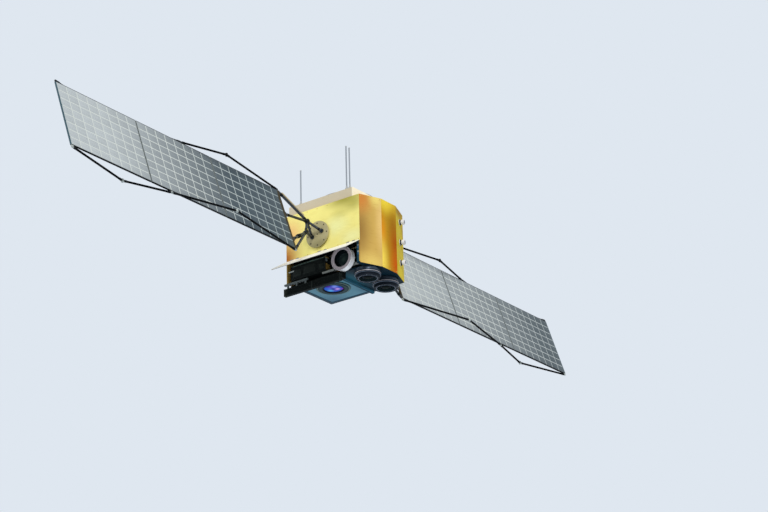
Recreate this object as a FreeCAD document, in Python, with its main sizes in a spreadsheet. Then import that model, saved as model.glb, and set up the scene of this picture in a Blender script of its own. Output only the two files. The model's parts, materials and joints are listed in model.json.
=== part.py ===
"""Earth-observation satellite with two three-panel solar arrays, as a parametric FreeCAD document.

Millimetres. The origin is the centre of the launch ring's face, +Z points to the zenith, the
arrays lie along X and the instrument bay opens to -X. The arrays are built in a frame of their
own: x along the span, s across the panels and n out of the cell side, turned about X by the tilt.
"""

import FreeCAD, Part
import math
import os

import Sketcher

from FreeCAD import Placement, Rotation, Vector

doc = FreeCAD.newDocument("Satellite")

# Driving dimensions: alias, millimetres (degrees where it says so), what it is.
SIZES = (
    ("launch_ring_height", 60, "launch ring, face to deck"),
    ("launch_ring_radius", 495, "outside of both flanges"),
    ("launch_ring_wall_radius", 452, "outside of the upright wall"),
    ("launch_ring_wall", 7, "thickness of the upright wall"),
    ("launch_ring_flange", 12, "thickness of a flange"),
    ("launch_ring_lip", 14, "how far a flange reaches inside the wall"),
    ("launch_bolt_circle", 937, "diameter of the bolt circle"),
    ("launch_bolt_radius", 4.5, "clearance hole for an 8 mm bolt"),
    ("launch_bolt_count", 24, "number of bolts"),
    ("zenith_height", 190, "zenith radiator deck, height"),
    ("zenith_half_width", 586, "zenith deck, half its X size"),
    ("zenith_front", 560, "zenith deck, centre to its -Y side"),
    ("zenith_rear", 850, "zenith deck, centre to its +Y side"),
    ("bus_height", 1269, "body without the zenith deck"),
    ("bus_half_width", 626, "half the body's X size"),
    ("bus_front", 885, "centre to the middle front facet"),
    ("bus_shoulder", 724, "centre to the outer corners of the front"),
    ("bus_rear", 885, "centre to the rear face"),
    ("facet_half_width", 210, "half the middle front facet"),
    ("wall", 22, "sandwich panel thickness"),
    ("bay_height", 409, "instrument bay, up from the nadir face"),
    ("bay_depth", 326, "instrument bay, in from the -X face"),
    ("bay_floor_setback", 186, "how far the nadir deck stands back under the bay"),
    ("bay_jamb", 50, "thickness of the bay's front jamb"),
    ("block_gap", 20, "equipment block, clear of the walls"),
    ("cover_length", 494, "bay cover, hinge line to free edge"),
    ("cover_thickness", 12, "bay cover"),
    ("cover_end_gap", 8, "bay cover, short of the bay at each end"),
    ("cover_standoff", 14, "hinge line, out from the -X face"),
    ("cover_open_angle", 58, "degrees, bay cover open from hanging shut"),
    ("cover_pin_radius", 6, "hinge pin"),
    ("cover_clearance", 0.05, "hinge pin to barrel, radial"),
    ("cover_end_play", 1, "cover barrel, short of the fixed ones at each end"),
    ("cover_knuckle_radius", 10, "hinge barrel"),
    ("cover_knuckle_length", 60, "hinge barrel, each of its three parts"),
    ("cover_hinge_inset", 180, "outer hinges, in from the cover's ends"),
    ("telescope_corner_gap", 422, "telescope axis, in from the bay's front corner"),
    ("telescope_drop", 220, "telescope axis, below the bay roof"),
    ("telescope_radius", 217, "outside of the front ring"),
    ("telescope_bore", 154, "clear aperture radius"),
    ("telescope_face_setback", 14, "front ring, in from the -X face"),
    ("telescope_rim", 20, "telescope front ring, thickness"),
    ("telescope_rim_step", 10, "telescope front ring, proud of the barrel"),
    ("telescope_length", 120, "front barrel, with its ring and bulkhead"),
    ("telescope_wall", 14, "front barrel, wall"),
    ("telescope_floor", 14, "bulkhead behind the bore"),
    ("telescope_neck_radius", 60, "rear tube to the bay's back wall"),
    ("imager_box_gap", 353, "imager box, near end from the telescope axis"),
    ("imager_box_rear", 75, "imager box, far end in from the rear face"),
    ("imager_box_drop", 60, "imager box top, below the bay roof"),
    ("imager_box_height", 300, "imager box"),
    ("imager_box_setback", 26, "imager box, in from the -X face"),
    ("imager_box_chamfer", 50, "imager box, upper front edge"),
    ("recorder_gap", 37, "long recorder boxes, near end from the telescope axis"),
    ("recorder_split_rear", 540, "where the two boxes meet, in from the rear face"),
    ("recorder_overhang", 78, "long recorder boxes, out past the rear face"),
    ("recorder_drop", 70, "recorder top, below the nadir face"),
    ("recorder_height", 130, "recorder boxes"),
    ("recorder_depth", 60, "recorder boxes along X"),
    ("recorder_setback", 16, "recorder boxes, in from the -X face"),
    ("beam_web", 40, "beam under the deck's edge, its web along X"),
    ("beam_shelf_drop", 26, "beam's shelf, below the nadir face"),
    ("rail_start", 442, "rail on the recorder boxes, near end in from the rear face"),
    ("rail_end", 6, "rail on the recorder boxes, far end in from theirs"),
    ("rail_width", 42, "rail on the recorder boxes"),
    ("rail_height", 30, "rail on the recorder boxes"),
    ("rail_flange", 6, "rail on the recorder boxes, its three thicknesses"),
    ("rail_lift", 59, "rail, above the recorder boxes"),
    ("rail_post", 24, "posts under the rail, along Y"),
    ("conduit_radius", 26, "conduit tube in the bay"),
    ("conduit_clearance", 43, "conduit tube, above the nadir deck"),
    ("lens_plate_height", 20, "nadir lens plate"),
    ("lens_plate_near", -20, "nadir lens plate, its -Y edge"),
    ("lens_plate_side", 60, "nadir lens plate, in from the +X face"),
    ("lens_plate_rear", 50, "nadir lens plate, in from the rear face"),
    ("rib_width", 55, "nadir rib beside the lens plate"),
    ("rib_gap", 12, "nadir rib to lens plate"),
    ("rib_side", 14, "nadir rib, in from the +X face"),
    ("rib_height", 40, "nadir rib"),
    ("lens_side_gap", 646, "main nadir lens axis, in from the +X face"),
    ("lens_rear_gap", 552, "main nadir lens axis, in from the rear face"),
    ("lens_radius", 300, "main lens flange"),
    ("lens_glass_radius", 176, "main lens glass"),
    ("lens_height", 24, "main lens flange, below its plate"),
    ("lens_step", 36, "main lens flange, width of its outer step"),
    ("lens_bevel", 12, "main lens flange, bevels either side of its crown"),
    ("lens_glass_edge", 8, "main lens glass, thickness at its edge"),
    ("lens_glass_rise", 22, "main lens glass, thickness at its middle"),
    ("camera_radius", 226, "wide-field cameras"),
    ("camera_height", 160, "wide-field cameras, below the nadir face"),
    ("camera_left_side", 369, "first wide-field camera, in from the -X face"),
    ("camera_left_front", 286, "first wide-field camera, in from the front facet"),
    ("camera_right_side", 314, "second wide-field camera, in from the +X face"),
    ("camera_right_front", 329, "second wide-field camera, in from the front facet"),
    ("camera_neck", 16, "camera mounting ring, in from the body's radius"),
    ("camera_hood", 26, "camera hood, in from the body's radius"),
    ("camera_hood_wall", 36, "camera hood, thickness of its rim"),
    ("camera_throat", 34, "camera hood, how far its cone narrows"),
    ("camera_throat_depth", 40, "camera hood, depth of its cone"),
    ("camera_crown", 10, "camera glass, rise of its middle"),
    ("sensor_side_gap", 200, "sun sensors, in from the +X face"),
    ("sensor_radius", 48, "sun sensor head"),
    ("sensor_length", 92, "sun sensor, base to face"),
    ("sensor_foot", 10, "sun sensor foot, proud of the head"),
    ("sensor_foot_height", 12, "sun sensor foot"),
    ("sensor_waist", 14, "sun sensor neck, in from the head"),
    ("sensor_top_drop", 221, "first sun sensor, below the body's top"),
    ("sensor_pitch", 381, "sun sensor to sun sensor"),
    ("whip_radius", 12, "whip antennas"),
    ("whip_base_radius", 30, "whip antenna feet"),
    ("whip_base_height", 30, "whip antenna feet"),
    ("whip_side_gap", 66, "whip antennas, in from the zenith deck's -X side"),
    ("drive_y", 165, "array drive axis"),
    ("drive_drop", 529, "array drive axis, below the body's top"),
    ("drive_housing_radius", 150, "fixed bearing housing"),
    ("drive_housing_length", 24, "fixed bearing housing, out from the face"),
    ("drive_shaft_radius", 70, "turning shaft"),
    ("drive_clearance", 0.05, "shaft to bearing, radial"),
    ("drive_gap", 0.5, "turning flange to housing"),
    ("drive_flange_radius", 243, "turning flange"),
    ("drive_flange_thickness", 18, "turning flange"),
    ("drive_bolt_circle_radius", 203, "turning flange bolts"),
    ("drive_bolt_radius", 12, "turning flange bolt holes"),
    ("drive_bolt_count", 8, "turning flange bolt holes"),
    ("drive_shaft_short", 4, "turning shaft, short of the body's face"),
    ("array_tilt", 72, "degrees, panel width from +Y towards +Z"),
    ("array_root", 1488, "body centre to the first panel"),
    ("panel_pitch", 1800, "panel to panel along the span"),
    ("panel_gap", 16, "gap between two panels"),
    ("panel_width", 1245, "panel across the span"),
    ("panel_thickness", 25, "honeycomb panel"),
    ("yoke_upper_x", 865, "upper yoke knuckle, from the body centre"),
    ("yoke_upper_s", 205, "upper yoke knuckle, from the drive axis"),
    ("yoke_lower_x", 1015, "lower yoke knuckle, from the body centre"),
    ("yoke_lower_s", 85, "lower yoke knuckle, from the drive axis"),
    ("yoke_foot_n", 108, "yoke feet on the flange, from the drive axis"),
    ("yoke_upper_leg_s", 120, "root of the upper inner leg"),
    ("yoke_lower_leg_s", 400, "root of the lower inner leg"),
    ("yoke_corner_inset", 30, "roots of the outer legs, in from the panel's corner"),
    ("yoke_tube_radius", 23, "yoke tubes"),
    ("yoke_foot_radius", 38, "yoke feet"),
    ("yoke_foot_height", 16, "yoke feet"),
    ("yoke_hub_radius", 36, "yoke knuckles"),
    ("yoke_hinge_radius", 17, "hinges between yoke and first panel"),
    ("yoke_hinge_length", 80, "hinges between yoke and first panel"),
    ("stay_radius", 14, "panel stays"),
    ("stay_outset", 26, "stay centre line, out from the panel's long edge"),
    ("stay_end_inset", 34, "stay ends, in from the array's ends"),
    ("stay_lower_knee_run", 1800, "inner knee of the lower stay, out from the array's root"),
    ("stay_lower_cross_run", 3132, "where the lower stay crosses the panels"),
    ("stay_lower_outer_run", 4068, "outer knee of the lower stay"),
    ("stay_lower_rise", 225, "inner knee of the lower stay, on the cell side"),
    ("stay_upper_knee_run", 1552, "inner knee of the upper stay"),
    ("stay_upper_cross_run", 2500, "where the upper stay crosses the panels"),
    ("stay_upper_outer_run", 4068, "outer knee of the upper stay"),
    ("stay_upper_rise", 185, "inner knee of the upper stay, on the cell side"),
    ("stay_outer_rise", 198, "outer knees, on the back"),
    ("stay_knee_radius", 24, "knees of a stay"),
    ("stay_fitting_half", 20, "half the length of a stay fitting"),
    ("stay_fitting_depth", 20, "stay fitting through the panel's edge"),
    ("hinge_leaf_length", 60, "panel hinge leaf along the span"),
    ("hinge_leaf_width", 90, "panel hinge leaf across the span"),
    ("hinge_leaf_thickness", 6, "panel hinge leaf"),
    ("hinge_pin_radius", 9, "panel hinge barrel"),
    ("hinge_spread", 448, "outer panel hinges, from the middle one"),
)

sheet = doc.addObject("Spreadsheet::Sheet", "Sizes")
sheet.Label = "Sizes"
for row, (alias, value, meaning) in enumerate(SIZES, start=1):
    sheet.set(f"A{row}", meaning)
    sheet.set(f"B{row}", str(value))
    sheet.setAlias(f"B{row}", alias)
doc.recompute()


def size(alias):
    """A driving dimension as a number, for shapes that are made in code."""
    return float(sheet.get(alias))


def cell(text):
    """An expression in which every bare alias is read from the sheet."""
    words = {alias for alias, _, _ in SIZES}
    out, word = "", ""
    for letter in text + " ":
        if letter.isalnum() or letter == "_":
            word += letter
        else:
            out += (f"Sizes.{word}" if word in words else word) + letter
            word = ""
    return out.strip()


# Levels and edges that several pieces share, as expressions.
DECK_TOP = "-launch_ring_height"
BUS_TOP = "-(launch_ring_height + zenith_height)"
BUS_BOTTOM = "-(launch_ring_height + zenith_height + bus_height)"
BAY_ROOF = f"({BUS_BOTTOM} + bay_height)"
BAY_BACK = "(-bus_half_width + bay_depth)"
BAY_FRONT = "(-bus_shoulder + wall + bay_jamb)"
FLOOR_EDGE = "(-bus_half_width + bay_floor_setback)"
DRIVE_Z = f"({BUS_TOP} - drive_drop)"
LENS_FACE = f"({BUS_BOTTOM} - lens_plate_height)"
LENS_X = "bus_half_width - lens_side_gap"
LENS_Y = "bus_rear - lens_rear_gap"
TELESCOPE_Y = "(-bus_shoulder + telescope_corner_gap)"
IMAGER_NEAR = f"({TELESCOPE_Y} + imager_box_gap)"
IMAGER_FAR = "(bus_rear - imager_box_rear)"
RECORDER_NEAR = f"({TELESCOPE_Y} + recorder_gap)"
RECORDER_SPLIT = "(bus_rear - recorder_split_rear)"
RECORDER_FAR = "(bus_rear + recorder_overhang)"

SIDES = (("left", -1), ("right", 1))


def value_of(text):
    """The present value of an expression over the sheet."""
    found = sheet.evalExpression(cell(text))
    return float(getattr(found, "Value", found))


def bind(obj, prop, text):
    obj.setExpression(prop, cell(text))


def place(obj, x="0", y="0", z="0", rotation=None):
    """Puts an object at a place given by expressions, turned by a fixed rotation."""
    obj.Placement = Placement(Vector(), rotation or Rotation())
    for axis, text in zip("xyz", (x, y, z)):
        bind(obj, f"Placement.Base.{axis}", text)


def box(label, x, y, z):
    """A Part::Box between two bounds on each axis."""
    obj = doc.addObject("Part::Box", label)
    for prop, (low, high) in zip(("Length", "Width", "Height"), (x, y, z)):
        bind(obj, prop, f"({high}) - ({low})")
    place(obj, x[0], y[0], z[0])
    return obj


def new_body(label):
    return doc.addObject("PartDesign::Body", label)


def new_sketch(body, role, height="0"):
    """A sketch on one of the body's own origin planes, lifted along the plane's normal."""
    sketch = body.newObject("Sketcher::SketchObject", body.Name + "_sketch")
    plane = next(f for f in body.Origin.OriginFeatures if f.Role == role)
    sketch.AttachmentSupport = [(plane, "")]
    sketch.MapMode = "FlatFace"
    bind(sketch, "AttachmentOffset.Base.z", height)
    return sketch


def constrain_point(sketch, geometry, point, x, y):
    """Ties a point of a sketch to two expressions, measured from the sketch's origin."""
    for kind, axis, text in (("DistanceX", -2, x), ("DistanceY", -1, y)):
        if text == "0":
            sketch.addConstraint(Sketcher.Constraint("PointOnObject", geometry, point, axis))
            continue
        number = sketch.addConstraint(Sketcher.Constraint(kind, -1, 1, geometry, point, value_of(text)))
        bind(sketch, f"Constraints[{number}]", text)


def draw_outline(sketch, corners):
    """A closed outline of straight lines, each corner a pair of expressions."""
    points = [Vector(value_of(x), value_of(y), 0) for x, y in corners]
    first = sketch.GeometryCount
    for i, start in enumerate(points):
        sketch.addGeometry(Part.LineSegment(start, points[(i + 1) % len(points)]), False)
    for i, (x, y) in enumerate(corners):
        after = first + (i + 1) % len(points)
        sketch.addConstraint(Sketcher.Constraint("Coincident", first + i, 2, after, 1))
        constrain_point(sketch, first + i, 1, x, y)


def draw_circle(sketch, x, y, radius):
    centre = Vector(value_of(x), value_of(y), 0)
    index = sketch.addGeometry(Part.Circle(centre, Vector(0, 0, 1), value_of(radius)), False)
    constrain_point(sketch, index, 3, x, y)
    number = sketch.addConstraint(Sketcher.Constraint("Radius", index, value_of(radius)))
    bind(sketch, f"Constraints[{number}]", radius)


def pad(body, sketch, length):
    feature = body.newObject("PartDesign::Pad", body.Name + "_pad")
    feature.Profile = sketch
    bind(feature, "Length", length)
    return feature


def plate(label, corners, bottom, thickness):
    """A flat plate cut to an outline in plan."""
    body = new_body(label)
    sketch = new_sketch(body, "XY_Plane", bottom)
    draw_outline(sketch, corners)
    pad(body, sketch, thickness)
    return body


def turned(label, profile):
    """A piece turned about its own Z axis from (radius, height) corners."""
    body = new_body(label)
    sketch = new_sketch(body, "XZ_Plane")
    draw_outline(sketch, profile)
    turn = body.newObject("PartDesign::Revolution", label + "_turn")
    turn.Profile = sketch
    turn.ReferenceAxis = (sketch, ["V_Axis"])
    turn.Angle = 360
    return body


def bolt_circle(body, radius, hole, count, depth):
    """Cuts a ring of holes down from the body's origin plane."""
    sketch = new_sketch(body, "XY_Plane")
    draw_circle(sketch, radius, "0", hole)
    cut = body.newObject("PartDesign::Pocket", body.Name + "_hole")
    cut.Profile = sketch
    bind(cut, "Length", depth)
    ring = body.newObject("PartDesign::PolarPattern", body.Name + "_holes")
    ring.Originals = [cut]
    ring.Axis = (next(f for f in body.Origin.OriginFeatures if f.Role == "Z_Axis"), [""])
    ring.Angle = 360
    bind(ring, "Occurrences", count)
    body.Tip = ring
    return ring


def rod(start, end, radius):
    """A round bar between two points."""
    along = end - start
    return Part.makeCylinder(radius, along.Length, start, along)


def joined(shapes):
    return shapes[0].multiFuse(shapes[1:])


def made(label, shape):
    """A Part::Feature for a shape that is made in code."""
    feature = doc.addObject("Part::Feature", label)
    feature.Shape = shape
    return feature


def put_on_array(obj):
    """Turns and moves a piece from the array's frame to the satellite's."""
    place(obj, "0", "drive_y", DRIVE_Z, Rotation(Vector(1, 0, 0), size("array_tilt")))


pieces = []


def keep(obj, label):
    obj.Label = label
    pieces.append(obj)
    return obj


# ---- Launch ring and zenith deck -------------------------------------------------------------

INNER_LIP = "launch_ring_wall_radius - launch_ring_wall - launch_ring_lip"
RING_WALL_IN = "launch_ring_wall_radius - launch_ring_wall"
RING_FLANGE_LOW = "launch_ring_flange - launch_ring_height"
launch_ring = turned(
    "launch_ring",
    (
        (INNER_LIP, "0"),
        ("launch_ring_radius", "0"),
        ("launch_ring_radius", "-launch_ring_flange"),
        ("launch_ring_wall_radius", "-launch_ring_flange"),
        ("launch_ring_wall_radius", RING_FLANGE_LOW),
        ("launch_ring_radius", RING_FLANGE_LOW),
        ("launch_ring_radius", "-launch_ring_height"),
        (INNER_LIP, "-launch_ring_height"),
        (INNER_LIP, RING_FLANGE_LOW),
        (RING_WALL_IN, RING_FLANGE_LOW),
        (RING_WALL_IN, "-launch_ring_flange"),
        (INNER_LIP, "-launch_ring_flange"),
    ),
)
bolt_circle(
    launch_ring,
    "launch_bolt_circle / 2",
    "launch_bolt_radius",
    "launch_bolt_count",
    "launch_ring_flange",
)
keep(launch_ring, "launch_ring")

keep(
    box(
        "zenith_deck",
        ("-zenith_half_width", "zenith_half_width"),
        ("-zenith_front", "zenith_rear"),
        (BUS_TOP, DECK_TOP),
    ),
    "zenith_deck",
)

# Whip antennas: name, place along Y, height of the tip above the launch ring's face.
WHIPS = (
    ("whip_antenna_rear", "zenith_rear - 216", 622),
    ("whip_antenna_front", "-zenith_front + 176", 789),
    ("whip_antenna_mid", "-zenith_front + 107", 737),
)
for label, y, tip in WHIPS:
    keep(
        turned(
            label,
            (
                ("0", "0"),
                ("whip_base_radius", "0"),
                ("whip_base_radius", "whip_base_height / 2"),
                ("whip_radius", "whip_base_height"),
                ("whip_radius", f"launch_ring_height + {tip}"),
                ("0", f"launch_ring_height + {tip}"),
            ),
        ),
        label,
    )
    place(doc.getObject(label), "-zenith_half_width + whip_side_gap", y, DECK_TOP)

# ---- Body panels -----------------------------------------------------------------------------

OUTLINE_FRONT = (
    ("-bus_half_width", "-bus_shoulder"),
    ("-facet_half_width", "-bus_front"),
    ("facet_half_width", "-bus_front"),
    ("bus_half_width", "-bus_shoulder"),
)
OUTLINE_REAR = (("bus_half_width", "bus_rear"), ("-bus_half_width", "bus_rear"))
keep(plate("top_panel", OUTLINE_FRONT + OUTLINE_REAR, f"{BUS_TOP} - wall", "wall"), "top_panel")

NOTCH = (
    (FLOOR_EDGE, "bus_rear"),
    (FLOOR_EDGE, BAY_FRONT),
    ("-bus_half_width", BAY_FRONT),
)
keep(
    plate("nadir_deck", OUTLINE_FRONT + OUTLINE_REAR[:1] + NOTCH, BUS_BOTTOM, "wall"), "nadir_deck"
)

PANEL_LOW = f"{BUS_BOTTOM} + wall"
PANEL_HIGH = f"{BUS_TOP} - wall"
PANEL_HEIGHT = "bus_height - 2 * wall"
for label, start, end in (
    ("facet_left", 0, 1),
    ("facet_front", 1, 2),
    ("facet_right", 2, 3),
):
    (x0, y0), (x1, y1) = OUTLINE_FRONT[start], OUTLINE_FRONT[end]
    outline = ((x0, y0), (x1, y1), (x1, f"{y1} + wall"), (x0, f"{y0} + wall"))
    keep(plate(label, outline, PANEL_LOW, PANEL_HEIGHT), label)

REAR_INSIDE = "bus_rear - wall"
FRONT_INSIDE = "-bus_shoulder + wall"
keep(
    box(
        "panel_rear",
        ("-bus_half_width", "bus_half_width"),
        (REAR_INSIDE, "bus_rear"),
        (PANEL_LOW, PANEL_HIGH),
    ),
    "panel_rear",
)
keep(
    box(
        "panel_right",
        ("bus_half_width - wall", "bus_half_width"),
        (FRONT_INSIDE, REAR_INSIDE),
        (PANEL_LOW, PANEL_HIGH),
    ),
    "panel_right",
)
keep(
    box(
        "panel_left",
        ("-bus_half_width", "-bus_half_width + wall"),
        (FRONT_INSIDE, REAR_INSIDE),
        (BAY_ROOF, PANEL_HIGH),
    ),
    "panel_left",
)
keep(
    box(
        "bay_roof",
        ("-bus_half_width + wall", BAY_BACK),
        (BAY_FRONT, REAR_INSIDE),
        (BAY_ROOF, f"{BAY_ROOF} + wall"),
    ),
    "bay_roof",
)
keep(
    box(
        "bay_back",
        (BAY_BACK, f"{BAY_BACK} + wall"),
        (BAY_FRONT, REAR_INSIDE),
        (PANEL_LOW, f"{BAY_ROOF} + wall"),
    ),
    "bay_back",
)
keep(
    box(
        "bay_jamb",
        ("-bus_half_width", f"{BAY_BACK} + wall"),
        (FRONT_INSIDE, BAY_FRONT),
        (PANEL_LOW, BAY_ROOF),
    ),
    "bay_jamb",
)
keep(
    box(
        "equipment_block",
        (f"{BAY_BACK} + wall + block_gap", "bus_half_width - wall - block_gap"),
        (f"{FRONT_INSIDE} + block_gap", f"{REAR_INSIDE} - block_gap"),
        (PANEL_LOW, PANEL_HIGH),
    ),
    "equipment_block",
)

# ---- Instrument bay --------------------------------------------------------------------------

TELESCOPE_Z = f"({BAY_ROOF} - telescope_drop)"
TELESCOPE_FACE = "(-bus_half_width + telescope_face_setback)"
TELESCOPE_REAR = "(bay_depth - telescope_face_setback)"
BARREL_OUT = "telescope_radius - telescope_rim_step"
BARREL_IN = "telescope_radius - telescope_rim_step - telescope_wall"
BARREL_END = "-telescope_length + telescope_floor"
for label, profile in (
    (
        "telescope_ring",
        (
            ("telescope_bore", "-telescope_rim"),
            ("telescope_bore", "-telescope_rim / 2"),
            ("telescope_bore + telescope_rim / 2", "0"),
            ("telescope_radius", "0"),
            ("telescope_radius", "-telescope_rim"),
        ),
    ),
    (
        "telescope_barrel",
        (
            (BARREL_IN, "-telescope_rim"),
            (BARREL_OUT, "-telescope_rim"),
            (BARREL_OUT, BARREL_END),
            (BARREL_IN, BARREL_END),
        ),
    ),
    (
        "telescope_neck",
        (
            ("0", BARREL_END),
            (BARREL_OUT, BARREL_END),
            (BARREL_OUT, "-telescope_length"),
            ("telescope_neck_radius", "-telescope_length"),
            ("telescope_neck_radius", f"-{TELESCOPE_REAR}"),
            ("0", f"-{TELESCOPE_REAR}"),
        ),
    ),
):
    facing = Rotation(Vector(0, 1, 0), -90)
    place(turned(label, profile), TELESCOPE_FACE, TELESCOPE_Y, TELESCOPE_Z, facing)
    keep(doc.getObject(label), label)

IMAGER_TOP = f"({BAY_ROOF} - imager_box_drop)"
IMAGER_FRONT = "(-bus_half_width + imager_box_setback)"
imager = new_body("imager_box")
imager_sketch = new_sketch(imager, "XZ_Plane", f"-{IMAGER_FAR}")
draw_outline(
    imager_sketch,
    (
        (IMAGER_FRONT, f"{IMAGER_TOP} - imager_box_height"),
        (BAY_BACK, f"{IMAGER_TOP} - imager_box_height"),
        (BAY_BACK, IMAGER_TOP),
        (f"{IMAGER_FRONT} + imager_box_chamfer", IMAGER_TOP),
        (IMAGER_FRONT, f"{IMAGER_TOP} - imager_box_chamfer"),
    ),
)
pad(imager, imager_sketch, f"{IMAGER_FAR} - {IMAGER_NEAR}")
keep(imager, "imager_box")

RECORDER_FRONT = "(-bus_half_width + recorder_setback)"
RECORDER_TOP = f"({BUS_BOTTOM} - recorder_drop)"
for label, near, far in (
    ("recorder_near", RECORDER_NEAR, RECORDER_SPLIT),
    ("recorder_far", RECORDER_SPLIT, RECORDER_FAR),
):
    keep(
        box(
            label + "_box",
            (RECORDER_FRONT, f"{RECORDER_FRONT} + recorder_depth"),
            (near, far),
            (f"{RECORDER_TOP} - recorder_height", RECORDER_TOP),
        ),
        label + "_box",
    )

BEAM_LOW = f"({RECORDER_TOP} - recorder_height / 2)"
BEAM_SHELF = f"({BUS_BOTTOM} - beam_shelf_drop)"
BEAM_WEB = f"({FLOOR_EDGE} - beam_web)"
beam = new_body("recorder_beam")
beam_sketch = new_sketch(beam, "XZ_Plane", f"-({REAR_INSIDE})")
draw_outline(
    beam_sketch,
    (
        (f"{RECORDER_FRONT} + recorder_depth", BEAM_LOW),
        (FLOOR_EDGE, BEAM_LOW),
        (FLOOR_EDGE, PANEL_LOW),
        (BEAM_WEB, PANEL_LOW),
        (BEAM_WEB, BEAM_SHELF),
        (f"{RECORDER_FRONT} + recorder_depth", BEAM_SHELF),
    ),
)
pad(beam, beam_sketch, f"{REAR_INSIDE} - ({RECORDER_NEAR})")
keep(beam, "recorder_beam")

rail = new_body("recorder_rail")
RAIL_NEAR = "(bus_rear - rail_start)"
RAIL_FAR = f"({RECORDER_FAR} - rail_end)"
rail_sketch = new_sketch(rail, "XZ_Plane", f"-{RAIL_FAR}")
RAIL_BACK = f"({RECORDER_FRONT} + rail_width)"
RAIL_LOW = f"({RECORDER_TOP} + rail_lift)"
RAIL_TOP = f"({RAIL_LOW} + rail_height)"
draw_outline(
    rail_sketch,
    (
        (RECORDER_FRONT, RAIL_LOW),
        (RAIL_BACK, RAIL_LOW),
        (RAIL_BACK, f"{RAIL_LOW} + rail_flange"),
        (f"{RECORDER_FRONT} + rail_flange", f"{RAIL_LOW} + rail_flange"),
        (f"{RECORDER_FRONT} + rail_flange", f"{RAIL_TOP} - rail_flange"),
        (RAIL_BACK, f"{RAIL_TOP} - rail_flange"),
        (RAIL_BACK, RAIL_TOP),
        (RECORDER_FRONT, RAIL_TOP),
    ),
)
pad(rail, rail_sketch, f"{RAIL_FAR} - {RAIL_NEAR}")
post_sketch = new_sketch(rail, "XY_Plane", RECORDER_TOP)
for share in (0.08, 0.46, 0.84):
    post_near = f"({RAIL_NEAR} + {share} * ({RAIL_FAR} - {RAIL_NEAR}))"
    draw_outline(
        post_sketch,
        (
            (f"{RECORDER_FRONT} + rail_flange", post_near),
            (RAIL_BACK, post_near),
            (RAIL_BACK, f"{post_near} + rail_post"),
            (f"{RECORDER_FRONT} + rail_flange", f"{post_near} + rail_post"),
        ),
    )
pad(rail, post_sketch, "rail_lift + rail_flange / 2")
keep(rail, "recorder_rail")

conduit = turned(
    "bay_conduit",
    (
        ("0", "0"),
        ("conduit_radius", "0"),
        ("conduit_radius", f"{IMAGER_NEAR} - {BAY_FRONT}"),
        ("0", f"{IMAGER_NEAR} - {BAY_FRONT}"),
    ),
)
CONDUIT_Z = f"{BUS_BOTTOM} + wall + conduit_clearance + conduit_radius"
place(conduit, FLOOR_EDGE, BAY_FRONT, CONDUIT_Z, Rotation(Vector(1, 0, 0), -90))
keep(conduit, "bay_conduit")

# ---- Bay cover -------------------------------------------------------------------------------

HINGE_X = "(-bus_half_width - cover_standoff)"


def cover_hinge_places():
    """Middles of the three hinges along Y."""
    near = -size("bus_shoulder") + size("cover_end_gap") + size("cover_hinge_inset")
    far = size("bus_rear") - size("cover_end_gap") - size("cover_hinge_inset")
    return near, (near + far) / 2, far


def cover_shape():
    """The cover about its hinge line, hanging along -Z, with a bored barrel at each hinge."""
    near = -size("bus_shoulder") + size("cover_end_gap")
    far = size("bus_rear") - size("cover_end_gap")
    thickness = size("cover_thickness")
    barrel = size("cover_knuckle_radius")
    top = barrel + size("cover_thickness") / 4
    length = size("cover_length") - top
    corner = Vector(-thickness / 2, near, -size("cover_length"))
    parts = [Part.makeBox(thickness, far - near, length, corner)]
    half = size("cover_knuckle_length") / 2 - size("cover_end_play")
    bore = size("cover_pin_radius") + size("cover_clearance")
    bores = []
    for y in cover_hinge_places():
        low, high = Vector(0, y - half, 0), Vector(0, y + half, 0)
        parts.append(rod(low, high, barrel))
        web = Vector(-thickness / 2, y - half, -2 * top)
        parts.append(Part.makeBox(thickness, 2 * half, 2 * top, web))
        bores.append(rod(low, high, bore))
    return joined(parts).cut(Part.Compound(bores))


def cover_hinge_shape():
    """The fixed halves: a foot on the wall with two barrels and the pin through all three."""
    barrel = size("cover_knuckle_radius")
    length = size("cover_knuckle_length")
    standoff = size("cover_standoff")
    hinges = []
    for y in cover_hinge_places():
        low, high = Vector(0, y - 1.5 * length, 0), Vector(0, y + 1.5 * length, 0)
        parts = [rod(low, high, size("cover_pin_radius"))]
        for start in (y - 1.5 * length, y + 0.5 * length):
            parts.append(rod(Vector(0, start, 0), Vector(0, start + length, 0), barrel))
            parts.append(Part.makeBox(standoff, length, barrel * 2, Vector(0, start, 0)))
        hinges.append(joined(parts))
    return Part.Compound(hinges)


cover = made("bay_cover", cover_shape())
place(cover, HINGE_X, "0", BAY_ROOF, Rotation(Vector(0, 1, 0), size("cover_open_angle")))
keep(cover, "bay_cover")
cover_hinges = made("cover_hinges", cover_hinge_shape())
place(cover_hinges, HINGE_X, "0", BAY_ROOF)
keep(cover_hinges, "cover_hinges")

# ---- Nadir instruments -----------------------------------------------------------------------

keep(
    box(
        "lens_plate",
        (FLOOR_EDGE, "bus_half_width - lens_plate_side"),
        ("lens_plate_near", "bus_rear - lens_plate_rear"),
        (LENS_FACE, BUS_BOTTOM),
    ),
    "lens_plate",
)
keep(
    box(
        "nadir_rib",
        (FLOOR_EDGE, "bus_half_width - rib_side"),
        ("lens_plate_near - rib_gap - rib_width", "lens_plate_near - rib_gap"),
        (f"{BUS_BOTTOM} - rib_height", BUS_BOTTOM),
    ),
    "nadir_rib",
)

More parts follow.
